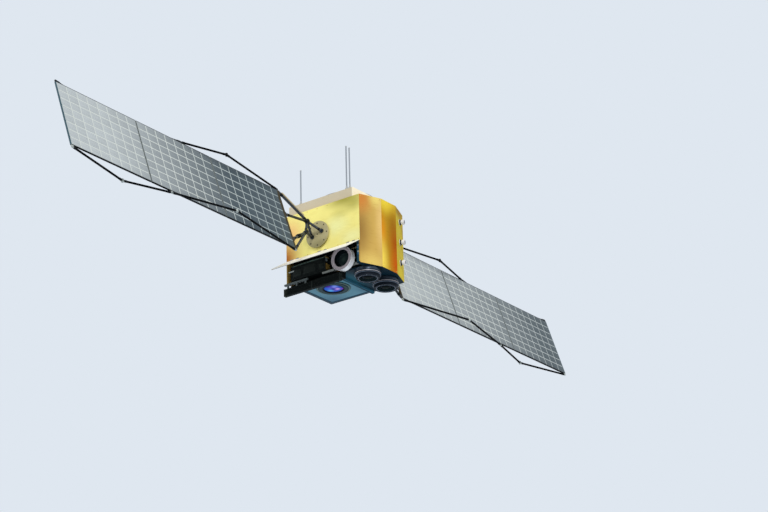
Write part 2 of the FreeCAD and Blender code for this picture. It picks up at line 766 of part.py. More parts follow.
lens_flange = turned(
    "lens_flange",
    (
        ("lens_glass_radius", "0"),
        ("lens_radius", "0"),
        ("lens_radius", "-lens_height / 2"),
        ("lens_radius - lens_step", "-lens_height / 2"),
        ("lens_radius - lens_step - lens_bevel", "-lens_height"),
        ("lens_glass_radius + lens_bevel", "-lens_height"),
        ("lens_glass_radius", "-lens_height / 2"),
    ),
)
place(lens_flange, LENS_X, LENS_Y, LENS_FACE)
keep(lens_flange, "lens_flange")

lens_dome = [
    (
        f"lens_glass_radius * {share}",
        f"-lens_glass_edge - (lens_glass_rise - lens_glass_edge) * {1 - share**2:.4f}",
    )
    for share in (1.0, 0.85, 0.7, 0.55, 0.4, 0.2)
]
lens_glass = turned(
    "lens_glass",
    (("0", "0"), ("lens_glass_radius", "0"), *lens_dome, ("0", "-lens_glass_rise")),
)
place(lens_glass, LENS_X, LENS_Y, LENS_FACE)
keep(lens_glass, "lens_glass")

CAMERA_HOOD = "camera_radius - camera_hood"
for side, sign in SIDES:
    camera = turned(
        f"camera_{side}",
        (
            ("0", "0"),
            ("camera_radius - camera_neck", "0"),
            ("camera_radius - camera_neck", "-camera_height * 0.3"),
            ("camera_radius", "-camera_height * 0.4"),
            ("camera_radius", "-camera_height * 0.66"),
            (CAMERA_HOOD, "-camera_height * 0.76"),
            (CAMERA_HOOD, "-camera_height"),
            (f"{CAMERA_HOOD} - camera_hood_wall", "-camera_height"),
            (
                f"{CAMERA_HOOD} - camera_hood_wall - camera_throat",
                "-camera_height + camera_throat_depth",
            ),
            ("0", "-camera_height + camera_throat_depth - camera_crown"),
        ),
    )
    camera_x = f"{sign} * (bus_half_width - camera_{side}_side)"
    place(camera, camera_x, f"-bus_front + camera_{side}_front", BUS_BOTTOM)
    keep(camera, f"camera_{side}")

# ---- Sun sensors on the +X facet -------------------------------------------------------------

FACET_RISE = size("bus_front") - size("bus_shoulder")
FACET_RUN = size("bus_half_width") - size("facet_half_width")
FACET_TURN = math.degrees(math.atan2(FACET_RISE, FACET_RUN))
SENSOR_Y = (
    "-bus_shoulder - sensor_side_gap * (bus_front - bus_shoulder)"
    " / (bus_half_width - facet_half_width)"
)
for number in range(3):
    sensor = turned(
        f"sun_sensor_{number + 1}",
        (
            ("0", "0"),
            ("sensor_radius + sensor_foot", "0"),
            ("sensor_radius + sensor_foot", "sensor_foot_height"),
            ("sensor_radius - sensor_waist", "sensor_foot_height"),
            ("sensor_radius - sensor_waist", "sensor_length * 0.45"),
            ("sensor_radius", "sensor_length * 0.5"),
            ("sensor_radius", "sensor_length"),
            ("0", "sensor_length"),
        ),
    )
    facing = Rotation(Vector(0, 0, 1), FACET_TURN) * Rotation(Vector(1, 0, 0), 90)
    drop = f"sensor_top_drop + {number} * sensor_pitch"
    sensor_x = "bus_half_width - sensor_side_gap"
    place(sensor, sensor_x, SENSOR_Y, f"{BUS_TOP} - ({drop})", facing)
    keep(sensor, f"sun_sensor_{number + 1}")

# ---- Solar arrays ----------------------------------------------------------------------------


def array_point(side, x, s, n):
    """A point in the array's frame."""
    return Vector(side * x, s, n)


def yoke_shape(side):
    """Welded tube frame from the drive flange to the hinge barrels on the first panel's edge."""
    tube = size("yoke_tube_radius")
    lift = max(size("yoke_foot_height"), tube)
    foot_x = (
        size("bus_half_width")
        + size("drive_housing_length")
        + size("drive_gap")
        + size("drive_flange_thickness")
    )
    barrel = size("yoke_hinge_radius")
    root_x = size("array_root") + size("panel_gap") / 2 - barrel
    edge = size("panel_width") / 2
    outer = edge - size("yoke_corner_inset")
    parts = []
    feet = [array_point(side, foot_x, 0, sign * size("yoke_foot_n")) for sign in (-1, 1)]
    for foot in feet:
        parts.append(rod(foot, foot + Vector(side * lift, 0, 0), size("yoke_foot_radius")))
    upper = array_point(side, size("yoke_upper_x"), size("yoke_upper_s"), 0)
    lower = array_point(side, size("yoke_lower_x"), -size("yoke_lower_s"), 0)
    for foot, knuckle in ((feet[0], upper), (feet[1], upper), (feet[0], lower)):
        parts.append(rod(foot + Vector(side * lift, 0, 0), knuckle, tube))
    legs = (
        (upper, size("yoke_upper_leg_s")),
        (upper, outer),
        (lower, -size("yoke_lower_leg_s")),
        (lower, -outer),
    )
    for knuckle, s in legs:
        root = array_point(side, root_x, s, 0)
        reach = min(size("yoke_hinge_length") / 2, edge - abs(s))
        half = Vector(0, reach, 0)
        parts.append(rod(knuckle, root, tube))
        parts.append(rod(root - half, root + half, barrel))
    hub = Vector(0, 0, size("yoke_hub_radius"))
    for knuckle in (upper, lower):
        parts.append(rod(knuckle - hub, knuckle + hub, size("yoke_hub_radius")))
    parts.append(rod(upper, lower, tube))
    return joined(parts)


def panel_hinge_shape(side):
    """Three hinges over each of the two gaps, on the back of the panels."""
    back = -size("panel_thickness") / 2
    length, width = size("hinge_leaf_length"), size("hinge_leaf_width")
    thickness = size("hinge_leaf_thickness")
    hinges = []
    for gap in (1, 2):
        x = size("array_root") + gap * size("panel_pitch")
        for step in (-1, 0, 1):
            centre = step * size("hinge_spread")
            corner = Vector(side * x - length, centre - width / 2, back - thickness)
            leaf = Part.makeBox(2 * length, width, thickness, corner)
            pin = Vector(side * x, centre - width / 2, back - thickness)
            barrel = rod(pin, pin + Vector(0, width, 0), size("hinge_pin_radius"))
            hinges.append(joined([leaf, barrel]))
    return Part.Compound(hinges)


def stay_shape(side, edge):
    """One bent stay along a long edge: four rods, two knees and three fittings on the edge."""
    root = size("array_root") + size("stay_end_inset")
    tip = size("array_root") + 3 * size("panel_pitch") - size("stay_end_inset")
    name = "stay_upper" if edge > 0 else "stay_lower"
    inner_knee = size("array_root") + size(f"{name}_knee_run")
    middle = size("array_root") + size(f"{name}_cross_run")
    outer_knee = size("array_root") + size(f"{name}_outer_run")
    s = edge * (size("panel_width") / 2 + size("stay_outset"))
    route = [
        array_point(side, root, s, 0),
        array_point(side, inner_knee, s, size(f"{name}_rise")),
        array_point(side, middle, s, 0),
        array_point(side, outer_knee, s, -size("stay_outer_rise")),
        array_point(side, tip, s, 0),
    ]
    radius = size("stay_radius")
    parts = [rod(a, b, radius) for a, b in zip(route, route[1:])]
    for knee in (route[1], route[3]):
        half = Vector(0, size("stay_knee_radius"), 0)
        parts.append(rod(knee - half, knee + half, size("stay_knee_radius")))
    half = size("stay_fitting_half")
    depth = size("stay_fitting_depth")
    reach = size("stay_outset") + radius
    for end in (route[0], route[2], route[4]):
        low = min(edge * size("panel_width") / 2, edge * (size("panel_width") / 2 + reach))
        parts.append(Part.makeBox(2 * half, reach, depth, Vector(end.x - half, low, -depth / 2)))
    return joined(parts)


HOUSING_FACE = "(bus_half_width + drive_housing_length)"
FLANGE_TOP = "drive_gap + drive_flange_thickness"
SHAFT_END = "drive_shaft_short - drive_flange_thickness - drive_housing_length"
for side, sign in SIDES:
    outward = Rotation(Vector(0, 1, 0), 90 * sign)
    housing = turned(
        f"drive_housing_{side}",
        (
            ("drive_shaft_radius + drive_clearance", "0"),
            ("drive_housing_radius", "0"),
            ("drive_housing_radius", "drive_housing_length"),
            ("drive_shaft_radius + drive_clearance", "drive_housing_length"),
        ),
    )
    place(housing, f"{sign} * bus_half_width", "drive_y", DRIVE_Z, outward)
    keep(housing, f"drive_housing_{side}")

    flange = turned(
        f"drive_flange_{side}",
        (
            ("0", "0"),
            ("drive_flange_radius", "0"),
            ("drive_flange_radius", "-drive_flange_thickness"),
            ("drive_shaft_radius", "-drive_flange_thickness"),
            ("drive_shaft_radius", SHAFT_END),
            ("0", SHAFT_END),
        ),
    )
    bolt_circle(
        flange,
        "drive_bolt_circle_radius",
        "drive_bolt_radius",
        "drive_bolt_count",
        "drive_flange_thickness",
    )
    outer_face = f"{sign} * ({HOUSING_FACE} + {FLANGE_TOP})"
    place(flange, outer_face, "drive_y", DRIVE_Z, outward)
    keep(flange, f"drive_flange_{side}")

    for label, shape in (
        ("yoke", yoke_shape(sign)),
        ("panel_hinges", panel_hinge_shape(sign)),
        ("stay_lower", stay_shape(sign, -1)),
        ("stay_upper", stay_shape(sign, 1)),
    ):
        feature = made(f"{label}_{side}", shape)
        put_on_array(feature)
        keep(feature, f"{label}_{side}")

    for number, label in enumerate(("inner", "middle", "outer")):
        body = new_body(f"panel_{label}_{side}")
        low = f"{sign} * (array_root + {number} * panel_pitch + panel_gap / 2)"
        high = f"{sign} * (array_root + {number + 1} * panel_pitch - panel_gap / 2)"
        sketch = new_sketch(body, "XY_Plane", "-panel_thickness / 2")
        draw_outline(
            sketch,
            (
                (low, "-panel_width / 2"),
                (high, "-panel_width / 2"),
                (high, "panel_width / 2"),
                (low, "panel_width / 2"),
            ),
        )
        pad(body, sketch, "panel_thickness")
        put_on_array(body)
        keep(body, f"panel_{label}_{side}")

# ---- Checks and export -----------------------------------------------------------------------

doc.recompute()
for obj in doc.Objects:
    if {"Invalid", "Error"} & set(obj.State):
        raise RuntimeError(f"{obj.Label} failed: {obj.State}")

os.makedirs("parts", exist_ok=True)
for piece in pieces:
    shape = piece.Shape
    if shape.isNull() or not shape.isValid() or not shape.Solids:
        raise RuntimeError(f"{piece.Label} is not a valid solid")
    shape.exportStep(f"parts/{piece.Label}.step")
    reach = shape.BoundBox
    print(
        f"{piece.Label}: {len(shape.Solids)} solid, {shape.Volume / 1e6:.2f} dm3, "
        f"x {reach.XMin:.0f}..{reach.XMax:.0f} y {reach.YMin:.0f}..{reach.YMax:.0f} "
        f"z {reach.ZMin:.0f}..{reach.ZMax:.0f}"
    )
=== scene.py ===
"""Looks of the Earth-observation satellite: finishes, fine parts, studio and camera.

Metres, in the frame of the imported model: the origin is the centre of the launch ring's face,
+Z points to the zenith, the arrays lie along X and the instrument bay opens to -X.
"""

import json
import logging
import math
from dataclasses import dataclass, field, replace
from enum import Enum
from typing import Any, Callable, Iterable, Sequence

import bmesh
import bpy
from mathutils import Euler, Matrix, Vector, noise


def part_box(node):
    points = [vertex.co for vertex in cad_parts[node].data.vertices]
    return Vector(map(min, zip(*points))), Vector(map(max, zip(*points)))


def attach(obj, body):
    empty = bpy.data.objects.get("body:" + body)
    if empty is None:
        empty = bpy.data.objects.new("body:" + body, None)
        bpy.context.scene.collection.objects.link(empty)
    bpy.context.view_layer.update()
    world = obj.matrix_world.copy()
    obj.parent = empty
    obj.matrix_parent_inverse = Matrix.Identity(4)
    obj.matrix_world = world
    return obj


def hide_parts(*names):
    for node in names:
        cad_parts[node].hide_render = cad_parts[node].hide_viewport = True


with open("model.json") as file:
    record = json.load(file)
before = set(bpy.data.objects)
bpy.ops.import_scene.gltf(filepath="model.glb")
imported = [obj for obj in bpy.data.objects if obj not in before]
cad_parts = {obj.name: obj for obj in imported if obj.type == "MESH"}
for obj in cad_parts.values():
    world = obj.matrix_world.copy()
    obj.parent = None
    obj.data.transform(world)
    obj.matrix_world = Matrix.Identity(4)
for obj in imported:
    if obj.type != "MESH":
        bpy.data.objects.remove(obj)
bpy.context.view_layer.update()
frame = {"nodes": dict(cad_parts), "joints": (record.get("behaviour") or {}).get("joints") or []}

log = logging.getLogger("satellite")

Colour = tuple[float, float, float, float]
Pair = tuple[float, float]
Place = tuple[float, float, float]
Tree = bpy.types.NodeTree
Profile = Sequence[Pair]
SIDES: tuple[tuple[str, int], ...] = (("left", -1), ("right", 1))
X, Y, Z = Vector((1, 0, 0)), Vector((0, 1, 0)), Vector((0, 0, 1))
# Panels of a wing, from the root to the tip.
PANEL_NAMES = ("inner", "middle", "outer")
# Turn of the wings about the drive axis.
WING_TILT = math.radians(72)
# Thickness of the body's sandwich panels, in metres.
PANEL_WALL = 0.022
# Edges flatter than this are shaded smooth.
SMOOTH_BELOW = math.radians(32)
# A point nearer to a lathe's axis than this lies on it.
ON_AXIS = 1e-7
# Length of one wave of a wave texture whose scale is 1, in radians.
WAVE = 6.28


def hex_colour(code: str) -> Colour:
    """Turns an sRGB hex code into linear colour.

    Args:
        code: Six hex digits after a hash, such as "#c0a030".

    Returns:
        Red, green, blue and an alpha of 1, linear.
    """
    parts = [int(code[i : i + 2], 16) / 255 for i in (1, 3, 5)]
    linear = [c / 12.92 if c <= 0.04045 else ((c + 0.055) / 1.055) ** 2.4 for c in parts]
    return (linear[0], linear[1], linear[2], 1.0)


def add_node(tree: Tree, kind: str, settings: dict[Any, Any] | None = None) -> bpy.types.Node:
    """Adds a node with its settings and links.

    Args:
        tree: The node tree.
        kind: The node's type name.
        settings: Values by property name, in lower case, or by input name or number. A socket,
            or a node for its first output, is linked, and a hex code becomes a colour. The key
            "stops" fills a colour ramp with (place, hex colour) pairs.

    Returns:
        The new node.
    """
    node = tree.nodes.new(kind)
    for key, value in (settings or {}).items():
        if key == "stops":
            elements = node.color_ramp.elements
            while len(elements) < len(value):
                elements.new(1.0)
            for element, (place, code) in zip(elements, value):
                element.position, element.color = place, hex_colour(code)
        elif isinstance(key, str) and key[0].islower():
            setattr(node, key, value)
        elif isinstance(value, bpy.types.Node):
            tree.links.new(value.outputs[0], node.inputs[key])
        elif isinstance(value, bpy.types.NodeSocket):
            tree.links.new(value, node.inputs[key])
        else:
            is_code = isinstance(value, str) and value.startswith("#")
            node.inputs[key].default_value = hex_colour(value) if is_code else value
    return node


def blend_colours(tree: Tree, share: Any, low: Any, high: Any) -> bpy.types.NodeSocket:
    """Mixes two colours: share 0 gives low and 1 gives high; each a hex code or a link."""
    mix = {"data_type": "RGBA", 0: share, 6: low, 7: high}
    return add_node(tree, "ShaderNodeMix", mix).outputs[2]


def distance_from(tree: Tree, place: Any, centre: Place, reach: Place) -> bpy.types.NodeSocket:
    """Measures how far a place lies from a centre, with each axis counted in its own reach.

    Args:
        tree: The node tree.
        place: Link that gives the place.
        centre: The centre.
        reach: Length that counts as 1, for each axis.

    Returns:
        Link that gives the distance.
    """
    frame_of = {"vector_type": "TEXTURE", "Location": centre, "Scale": reach, "Vector": place}
    moved = add_node(tree, "ShaderNodeMapping", frame_of)
    away = {"operation": "LENGTH", 0: moved}
    return add_node(tree, "ShaderNodeVectorMath", away).outputs["Value"]


# ---- Finishes ----


@dataclass(frozen=True)
class Glow:
    """A soft patch of painted light or shade on a finish, with its middle and its reach along each
    axis.
    """

    centre: Place
    reach: Place
    colour: str
    strength: float = 1.0

    def over(self, tree: Tree, place: Any, colour: Any) -> bpy.types.NodeSocket:
        """Lays the patch of painted light or shade over the colour that a place on the piece has.

        Args:
            tree: The node tree.
            place: The place on the piece.
            colour: The colour there.

        Returns:
            The colour with the patch.
        """
        away = distance_from(tree, place, self.centre, self.reach)
        fade = {"interpolation_type": "SMOOTHSTEP", "To Min": self.strength, "To Max": 0.0}
        fade["Value"] = away
        return blend_colours(tree, add_node(tree, "ShaderNodeMapRange", fade), colour, self.colour)


@dataclass(frozen=True)
class Finish:
    """A plain sprayed or moulded surface: even colour, faint clouding, a fine grain.

    The colour drifts by the clouding, a share, over cloud_mm. The grain is its height in
    millimetres, grain_mm its size, and the coat is the weight of a clear top coat.
    """

    name: str
    colour: str
    roughness: float = 0.5
    metallic: float = 0.0
    ior: float = 1.5
    coat: float = 0.0
    clouding: float = 0.12
    cloud_mm: float = 120.0
    grain_mm: float = 6.0
    grain: float = 0.05
    # Soft patches of painted light and shade laid over the colour.
    painted_light_and_shade: tuple[Glow, ...] = ()
    coat_roughness: float = 0.08

    def material(self) -> bpy.types.Material:
        """Makes the material, once.

        Returns:
            The material.
        """
        found = bpy.data.materials.get(self.name)
        if found:
            return found
        made = bpy.data.materials.new(self.name)
        made.use_nodes = True
        made.diffuse_color = hex_colour(self.colour)
        tree = made.node_tree
        tree.nodes.clear()
        place = add_node(tree, "ShaderNodeTexCoord").outputs["Object"]
        colour = self.tone(tree, place)
        for glow in self.painted_light_and_shade:
            colour = glow.over(tree, place, colour)
        relief = {"Distance": self.grain / 1000, "Height": self.pattern(tree, place)}
        settings = {
            "Metallic": self.metallic, "Roughness": self.roughness, "Coat Weight": self.coat,
            "Coat Roughness": self.coat_roughness, "Base Color": self.accent(tree, place, colour),
            "Normal": add_node(tree, "ShaderNodeBump", relief)
        }
        if self.metallic < 1:
            settings["IOR"] = self.ior
        shader = add_node(tree, "ShaderNodeBsdfPrincipled", settings)
        add_node(tree, "ShaderNodeOutputMaterial", {"Surface": shader})
        return made

    def clouds(self, tree: Tree, place: Any, size_mm: float, detail: float = 2.0) -> bpy.types.Node:
        """Gives a soft random pattern, about 0 to 1, whose features have a real size."""
        settings = {"Scale": 1000 / size_mm, "Detail": detail, "Vector": place}
        return add_node(tree, "ShaderNodeTexNoise", settings)

    def tone(self, tree: Tree, place: Any) -> Any:
        """Gives the ground colour with its drift."""
        dark, pale = (
            add_node(tree, "ShaderNodeHueSaturation", {"Value": 1 + drift, "Color": self.colour})
            for drift in (-self.clouding, self.clouding)
        )
        return blend_colours(tree, self.clouds(tree, place, self.cloud_mm), dark, pale)

    def accent(self, tree: Tree, place: Any, colour: Any) -> Any:
        """Adds fine marks over the colour and its patches; a plain finish has none."""
        return colour

    def pattern(self, tree: Tree, place: Any) -> Any:
        """Gives the surface's fine height, 0 to 1, and is as deep as the grain."""
        return self.clouds(tree, place, self.grain_mm, 3.0)


@dataclass(frozen=True)
class CrinkledFilm(Finish):
    """Metallised polyimide film over foam: thin creases catch the light along the sheet, and
    painted shading marks them.

    A crease has a length and, along Z, a height. Between its edges the pattern takes its share of
    the painted crease shading: shade on the gold films, a paler sheen on the black one.
    """

    crease_mm: Pair = (160.0, 22.0)
    painted_crease_shading: str = "#a06a18"
    painted_crease_share: float = 0.35
    crease_edges: Pair = (0.56, 0.74)

    def pattern(self, tree: Tree, place: Any) -> Any:
        """Gives the crease pattern, long across the sheet and short up it.

        Args:
            tree: The node tree.
            place: The place on the piece.

        Returns:
            The pattern, 0 to 1.
        """
        long, short = (1000 / size for size in self.crease_mm)
        squeezing = {"Scale": (long, long, short), "Vector": place}
        wrinkle = {"Scale": 1.0, "Detail": 5.0, "Roughness": 0.62, "Distortion": 0.6}
        wrinkle["Vector"] = add_node(tree, "ShaderNodeMapping", squeezing)
        return add_node(tree, "ShaderNodeTexNoise", wrinkle)

    def accent(self, tree: Tree, place: Any, colour: Any) -> Any:
        """Paints shading into the creases: shade on the gold films, a paler sheen on the black one.

        Args:
            tree: The node tree.
            place: The place on the piece.
            colour: The colour there.

        Returns:
            The colour with its painted crease shading.
        """
        start, full = self.crease_edges
        steps = {"From Min": start, "From Max": full, "To Max": self.painted_crease_share}
        steps["Value"] = self.pattern(tree, place)
        share = add_node(tree, "ShaderNodeMapRange", steps)
        return blend_colours(tree, share, colour, self.painted_crease_shading)


class Lay(Enum):
    """How a metal surface was cut, with the settings of the wave that draws its marks."""

    TURNED_X = (("wave_type", "RINGS"), ("rings_direction", "X"))
    TURNED_Z = (("wave_type", "RINGS"), ("rings_direction", "Z"))
    MILLED = (("bands_direction", "DIAGONAL"),)


@dataclass(frozen=True)
class CutMetal(Finish):
    """Machined metal: fine parallel or concentric tool marks that stretch the highlights.

    The marks lie coarser than the real 0.2 mm, so that they show.
    """

    grain: float = 0.02
    lay: Lay = Lay.MILLED
    centre: Place = (0.0, 0.0, 0.0)
    mark_mm: float = 6.0

    def pattern(self, tree: Tree, place: Any) -> Any:
        """Gives the tool marks.

        Args:
            tree: The node tree.
            place: The place on the piece.

        Returns:
            The marks, 0 to 1.
        """
        centring = {"vector_type": "TEXTURE", "Location": self.centre, "Vector": place}
        marks = {**dict(self.lay.value), "Scale": 1000 / self.mark_mm / WAVE, "Distortion": 0.4}
        marks["Vector"] = add_node(tree, "ShaderNodeMapping", centring)
        return add_node(tree, "ShaderNodeTexWave", marks).outputs[1]


@dataclass(frozen=True)
class WovenLaminate(Finish):
    """Carbon cloth in clear resin: a dark twill with a painted sheen on its tows, one after the
    other.

    A tow is wider than the real 2 mm, so that it shows.
    """

    tow_mm: float = 9.0
    painted_tow_sheen: str = "#2b3a44"

    def pattern(self, tree: Tree, place: Any) -> Any:
        """Gives the twill pattern, from two crossed sets of bands.

        Args:
            tree: The node tree.
            place: The place on the piece.

        Returns:
            The pattern, 0 to 1.
        """
        tow = {"Scale": 1000 / self.tow_mm / WAVE / 2, "Vector": place}
        along, up = (
            add_node(tree, "ShaderNodeTexWave", {"bands_direction": axis, **tow}).outputs[1]
            for axis in ("X", "Z")
        )
        return add_node(tree, "ShaderNodeMath", {"operation": "MULTIPLY", 0: along, 1: up})

    def accent(self, tree: Tree, place: Any, colour: Any) -> Any:
        """Paints a sheen of light onto the tows, one after the other."""
        return blend_colours(tree, self.pattern(tree, place), colour, self.painted_tow_sheen)


@dataclass(frozen=True)
class CellGlass(Finish):
    """Solar cells under cover glass: grey-blue, each tile its own tone, with fine grid lines.

    The tone goes from the root's at root_x to the base colour at tip_x, in metres along X, as a
    painted reflection, and tiles differ by the spread. The pivot is a point on the drive axis.
    """

    root_reflection_tone: str = "#4a565c"
    root_x: float = 1.5
    tip_x: float = 6.5
    pivot: Place = (0.0, 0.0, 0.0)
    cell_mm: Pair = (40.0, 68.0)
    spread: float = 0.04
    gap_mm: float = 1.6
    gap_tone: str = "#39454b"
    gap_share: float = 0.35

    def on_wing(self, tree: Tree, place: Any) -> bpy.types.Node:
        """Turns the place on the piece into span, width and height on the wing."""
        frame_of = {"Location": self.pivot, "Rotation": (WING_TILT, 0.0, 0.0), "Vector": place}
        return add_node(tree, "ShaderNodeMapping", {"vector_type": "TEXTURE", **frame_of})

    def tone(self, tree: Tree, place: Any) -> Any:
        """Gives the painted reflection that drifts along the span, and the tone from tile to tile.

        Args:
            tree: The node tree.
            place: The place on the piece.

        Returns:
            The colour.
        """
        span = add_node(tree, "ShaderNodeSeparateXYZ", {0: self.on_wing(tree, place)})
        reach = {"From Min": self.root_x, "From Max": self.tip_x, "Value": span}
        drift = add_node(tree, "ShaderNodeMapRange", reach)
        # Painted reflection: the tone runs from the root's to the tip's along the span.
        ground = blend_colours(tree, drift, self.root_reflection_tone, self.colour)
        tile = add_node(tree, "ShaderNodeAttribute", {"attribute_name": "tile_tone"}).outputs["Fac"]
        spread = {"To Min": 1 - self.spread, "To Max": 1 + self.spread, "Value": tile}
        tint = {"Value": add_node(tree, "ShaderNodeMapRange", spread), "Color": ground}
        return add_node(tree, "ShaderNodeHueSaturation", tint)

    def accent(self, tree: Tree, place: Any, colour: Any) -> Any:
        """Draws the gaps between cells and each cell's busbar.

        Args:
            tree: The node tree.
            place: The place on the piece.
            colour: The colour there.

        Returns:
            The colour with its grid lines.
        """
        long, wide = (size / 1000 for size in self.cell_mm)
        tones = {"Color1": "#000000", "Color2": "#000000", "Mortar": "#ffffff"}
        grid = {"Scale": 1.0, "Mortar Size": self.gap_mm / 1000, "offset": 0.0, **tones}
        grid.update({"Brick Width": long, "Row Height": wide})
        gaps = add_node(tree, "ShaderNodeTexBrick", {**grid, "Vector": self.on_wing(tree, place)})
        faint = {"operation": "MULTIPLY", 0: gaps, 1: self.gap_share}
        return blend_colours(tree, add_node(tree, "ShaderNodeMath", faint), colour, self.gap_tone)


@dataclass(frozen=True)
class CoatedGlass(Finish):
    """Optical glass with a multi-layer coating: rings of reflected colour painted round the axis.

    The rings are places along the radius, 0 to 1, with their colours, about X (0) or Z (2).
    """

    ior: float = 1.05
    grain: float = 0.0
    centre: Place = (0.0, 0.0, 0.0)
    radius: float = 0.1
    axis: int = 2
    rings: tuple[tuple[float, str], ...] = ((0.0, "#101020"), (1.0, "#2040a0"))

    def tone(self, tree: Tree, place: Any) -> Any:
        """Gives the rings of painted reflection, all round the axis.

        Args:
            tree: The node tree.
            place: The place on the piece.

        Returns:
            The colour.
        """
        reach = tuple(1e3 if i == self.axis else self.radius for i in range(3))
        across = distance_from(tree, place, self.centre, reach)
        return add_node(tree, "ShaderNodeValToRGB", {"stops": self.rings, 0: across})


# ---- Shapes ----


class Shape:
    """A mesh in metres, put together from simple solids and finished once."""

    def __init__(self) -> None:
        """Starts an empty mesh."""
        self.mesh = bmesh.new()
        self.open_sheets = False

    def faces(
        self, points: Iterable[Vector], rows: Iterable[Sequence[int]] = ()
    ) -> list[bmesh.types.BMVert]:
        """Adds points and the faces between them.

        Args:
            points: The corners.
            rows: Numbers of the corners of each face.

        Returns:
            The new vertices.
        """
        made = [self.mesh.verts.new(p) for p in points]
        for row in rows:
            self.mesh.faces.new([made[i] for i in row])
        return made

    def block(
        self, low: Sequence[float], high: Sequence[float], edge: float = 0.0, at: Matrix = Matrix()
    ) -> "Shape":
        """Adds a block with rounded edges.

        Args:
            low: Lowest corner.
            high: Highest corner.
            edge: Radius of its edges.
            at: Where its own frame stands.

        Returns:
            The shape.
        """
        x, y, z = zip(low, high)
        rows = ((0, 1, 3, 2), (4, 6, 7, 5), (0, 4, 5, 1), (2, 3, 7, 6), (0, 2, 6, 4), (1, 5, 7, 3))
        made = self.faces([at @ Vector((i, j, k)) for i in x for j in y for k in z], rows)
        if edge:
            edges = list({e for v in made for e in v.link_edges})
            rounding = {"offset": edge, "segments": 2, "affect": "EDGES", "profile": 0.6}
            bmesh.ops.bevel(self.mesh, geom=edges, **rounding)
        return self

    def lathe(
        self, profile: Profile, at: Matrix = Matrix(), steps: int = 64, closed: bool = True
    ) -> "Shape":
        """Adds a turned solid or ring.

        Args:
            profile: (radius, height) corners of its section.
            at: Where its axis stands, along the frame's own Z.
            steps: Sides round the axis.
            closed: Whether the section closes on itself.

        Returns:
            The shape.
        """
        angles = [math.tau * i / steps for i in range(steps)]
        rings = []
        for radius, height in profile:
            circle = angles if radius >= ON_AXIS else angles[:1]
            spokes = (Vector((radius * math.cos(a), radius * math.sin(a), height)) for a in circle)
            rings.append(self.faces([at @ spoke for spoke in spokes]))
        for low, high in zip(rings, rings[1:] + (rings[:1] if closed else [])):
            if len(low) + len(high) == 2:
                continue
            for i in range(steps):
                j = (i + 1) % steps
                square = ((low, i), (low, j), (high, j), (high, i))
                corners = dict.fromkeys(ring[k % len(ring)] for ring, k in square)
                self.mesh.faces.new(list(corners))
        return self

    def band(
        self, across: Pair, along: Pair, edge: float, at: Matrix,
        steps: int = 96
    ) -> "Shape":
        """Adds a band round a tube, with sloping edges.

        Args:
            across: Its inner and outer radius.
            along: Where it starts and ends.
            edge: Length of the slope at both ends.
            at: Where its axis stands, along the frame's own Z.
            steps: Sides round the axis.

        Returns:
            The shape.
        """
        (inner, outer), (start, end) = across, along
        section = ((inner, start), (outer, start + edge), (outer, end - edge), (inner, end))
        return self.lathe(section, at, steps)

    def pipe(self, route: Sequence[Vector], radius: float, steps: int = 12) -> "Shape":
        """Adds a bent tube along a route, mitred at each bend.

        Args:
            route: Points on its centre line.
            radius: Its radius.
            steps: Sides.

        Returns:
            The shape.
        """
        rings: list[list[bmesh.types.BMVert]] = []
        runs = [(b - a).normalized() for a, b in zip(route, route[1:])]
        side = runs[0].orthogonal().normalized()
        for number, point in enumerate(route):
            before = runs[max(number - 1, 0)]
            after = runs[min(number, len(runs) - 1)]
            across = (before + after).normalized()
            side = (side - before * side.dot(before)).normalized()
            up = before.cross(side)
            ring = []
            for angle in (math.tau * i / steps for i in range(steps)):
                spoke = (side * math.cos(angle) + up * math.sin(angle)) * radius
                ring.append(point + spoke + before * (-spoke.dot(across) / before.dot(across)))
            rings.append(self.faces(ring))
            side = (side - after * side.dot(after)).normalized()
        for low, high in zip(rings, rings[1:]):
            for i in range(steps):
                j = (i + 1) % steps
                self.mesh.faces.new((low[i], low[j], high[j], high[i]))
        self.mesh.faces.new(list(reversed(rings[0])))
        self.mesh.faces.new(rings[-1])
        return self

    def prism(self, outline: Sequence[Vector], rise: Vector) -> "Shape":
        """Adds a solid of one flat outline pulled along a line.

        Args:
            outline: Corners in order.
            rise: How far and which way it is pulled.

        Returns:
            The shape.
        """
        count = len(outline)
        rows = [tuple(range(count)), tuple(range(2 * count - 1, count - 1, -1))]
        rows += [(i, i + count, (i + 1) % count + count, (i + 1) % count) for i in range(count)]
        self.faces([*outline, *(p + rise for p in outline)], rows)
        return self

    def sheet(
        self, corner: Vector, across: Vector, up: Vector, pitch: float,
        lift: Callable[[Vector, float], float]
    ) -> "Shape":
        """Adds a sheet of small squares, lifted off its plane by a rule.

        Args:
            corner: Its first corner.
            across: Its first side.
            up: Its second side; the sheet faces along across x up.
            pitch: Size of a square.
            lift: Gives the height from the place and its distance to the nearest edge.

        Returns:
            The shape.
        """
        columns, rows = (max(2, round(side.length / pitch)) for side in (across, up))
        wide, tall = across.length / columns, up.length / rows
        normal = across.cross(up).normalized()
        points = []
        for j in range(rows + 1):
            for i in range(columns + 1):
                flat = corner + across * (i / columns) + up * (j / rows)
                edge = min(min(i, columns - i) * wide, min(j, rows - j) * tall)
                points.append(flat + normal * lift(flat, edge))
        below = (j * (columns + 1) + i for j in range(rows) for i in range(columns))
        self.faces(points, ((k, k + 1, k + columns + 2, k + columns + 1) for k in below))
        self.open_sheets = True
        return self

    def data(self, name: str) -> bpy.types.Mesh:
        """Turns the shape into a mesh with outward faces and soft shading.

        Args:
            name: The mesh's name.

        Returns:
            The mesh.
        """
        if not self.open_sheets:
            bmesh.ops.recalc_face_normals(self.mesh, faces=self.mesh.faces)
        mesh = bpy.data.meshes.new(name)
        self.mesh.to_mesh(mesh)
        self.mesh.free()
        mesh.shade_smooth()
        mesh.set_sharp_from_angle(angle=SMOOTH_BELOW)
        return mesh

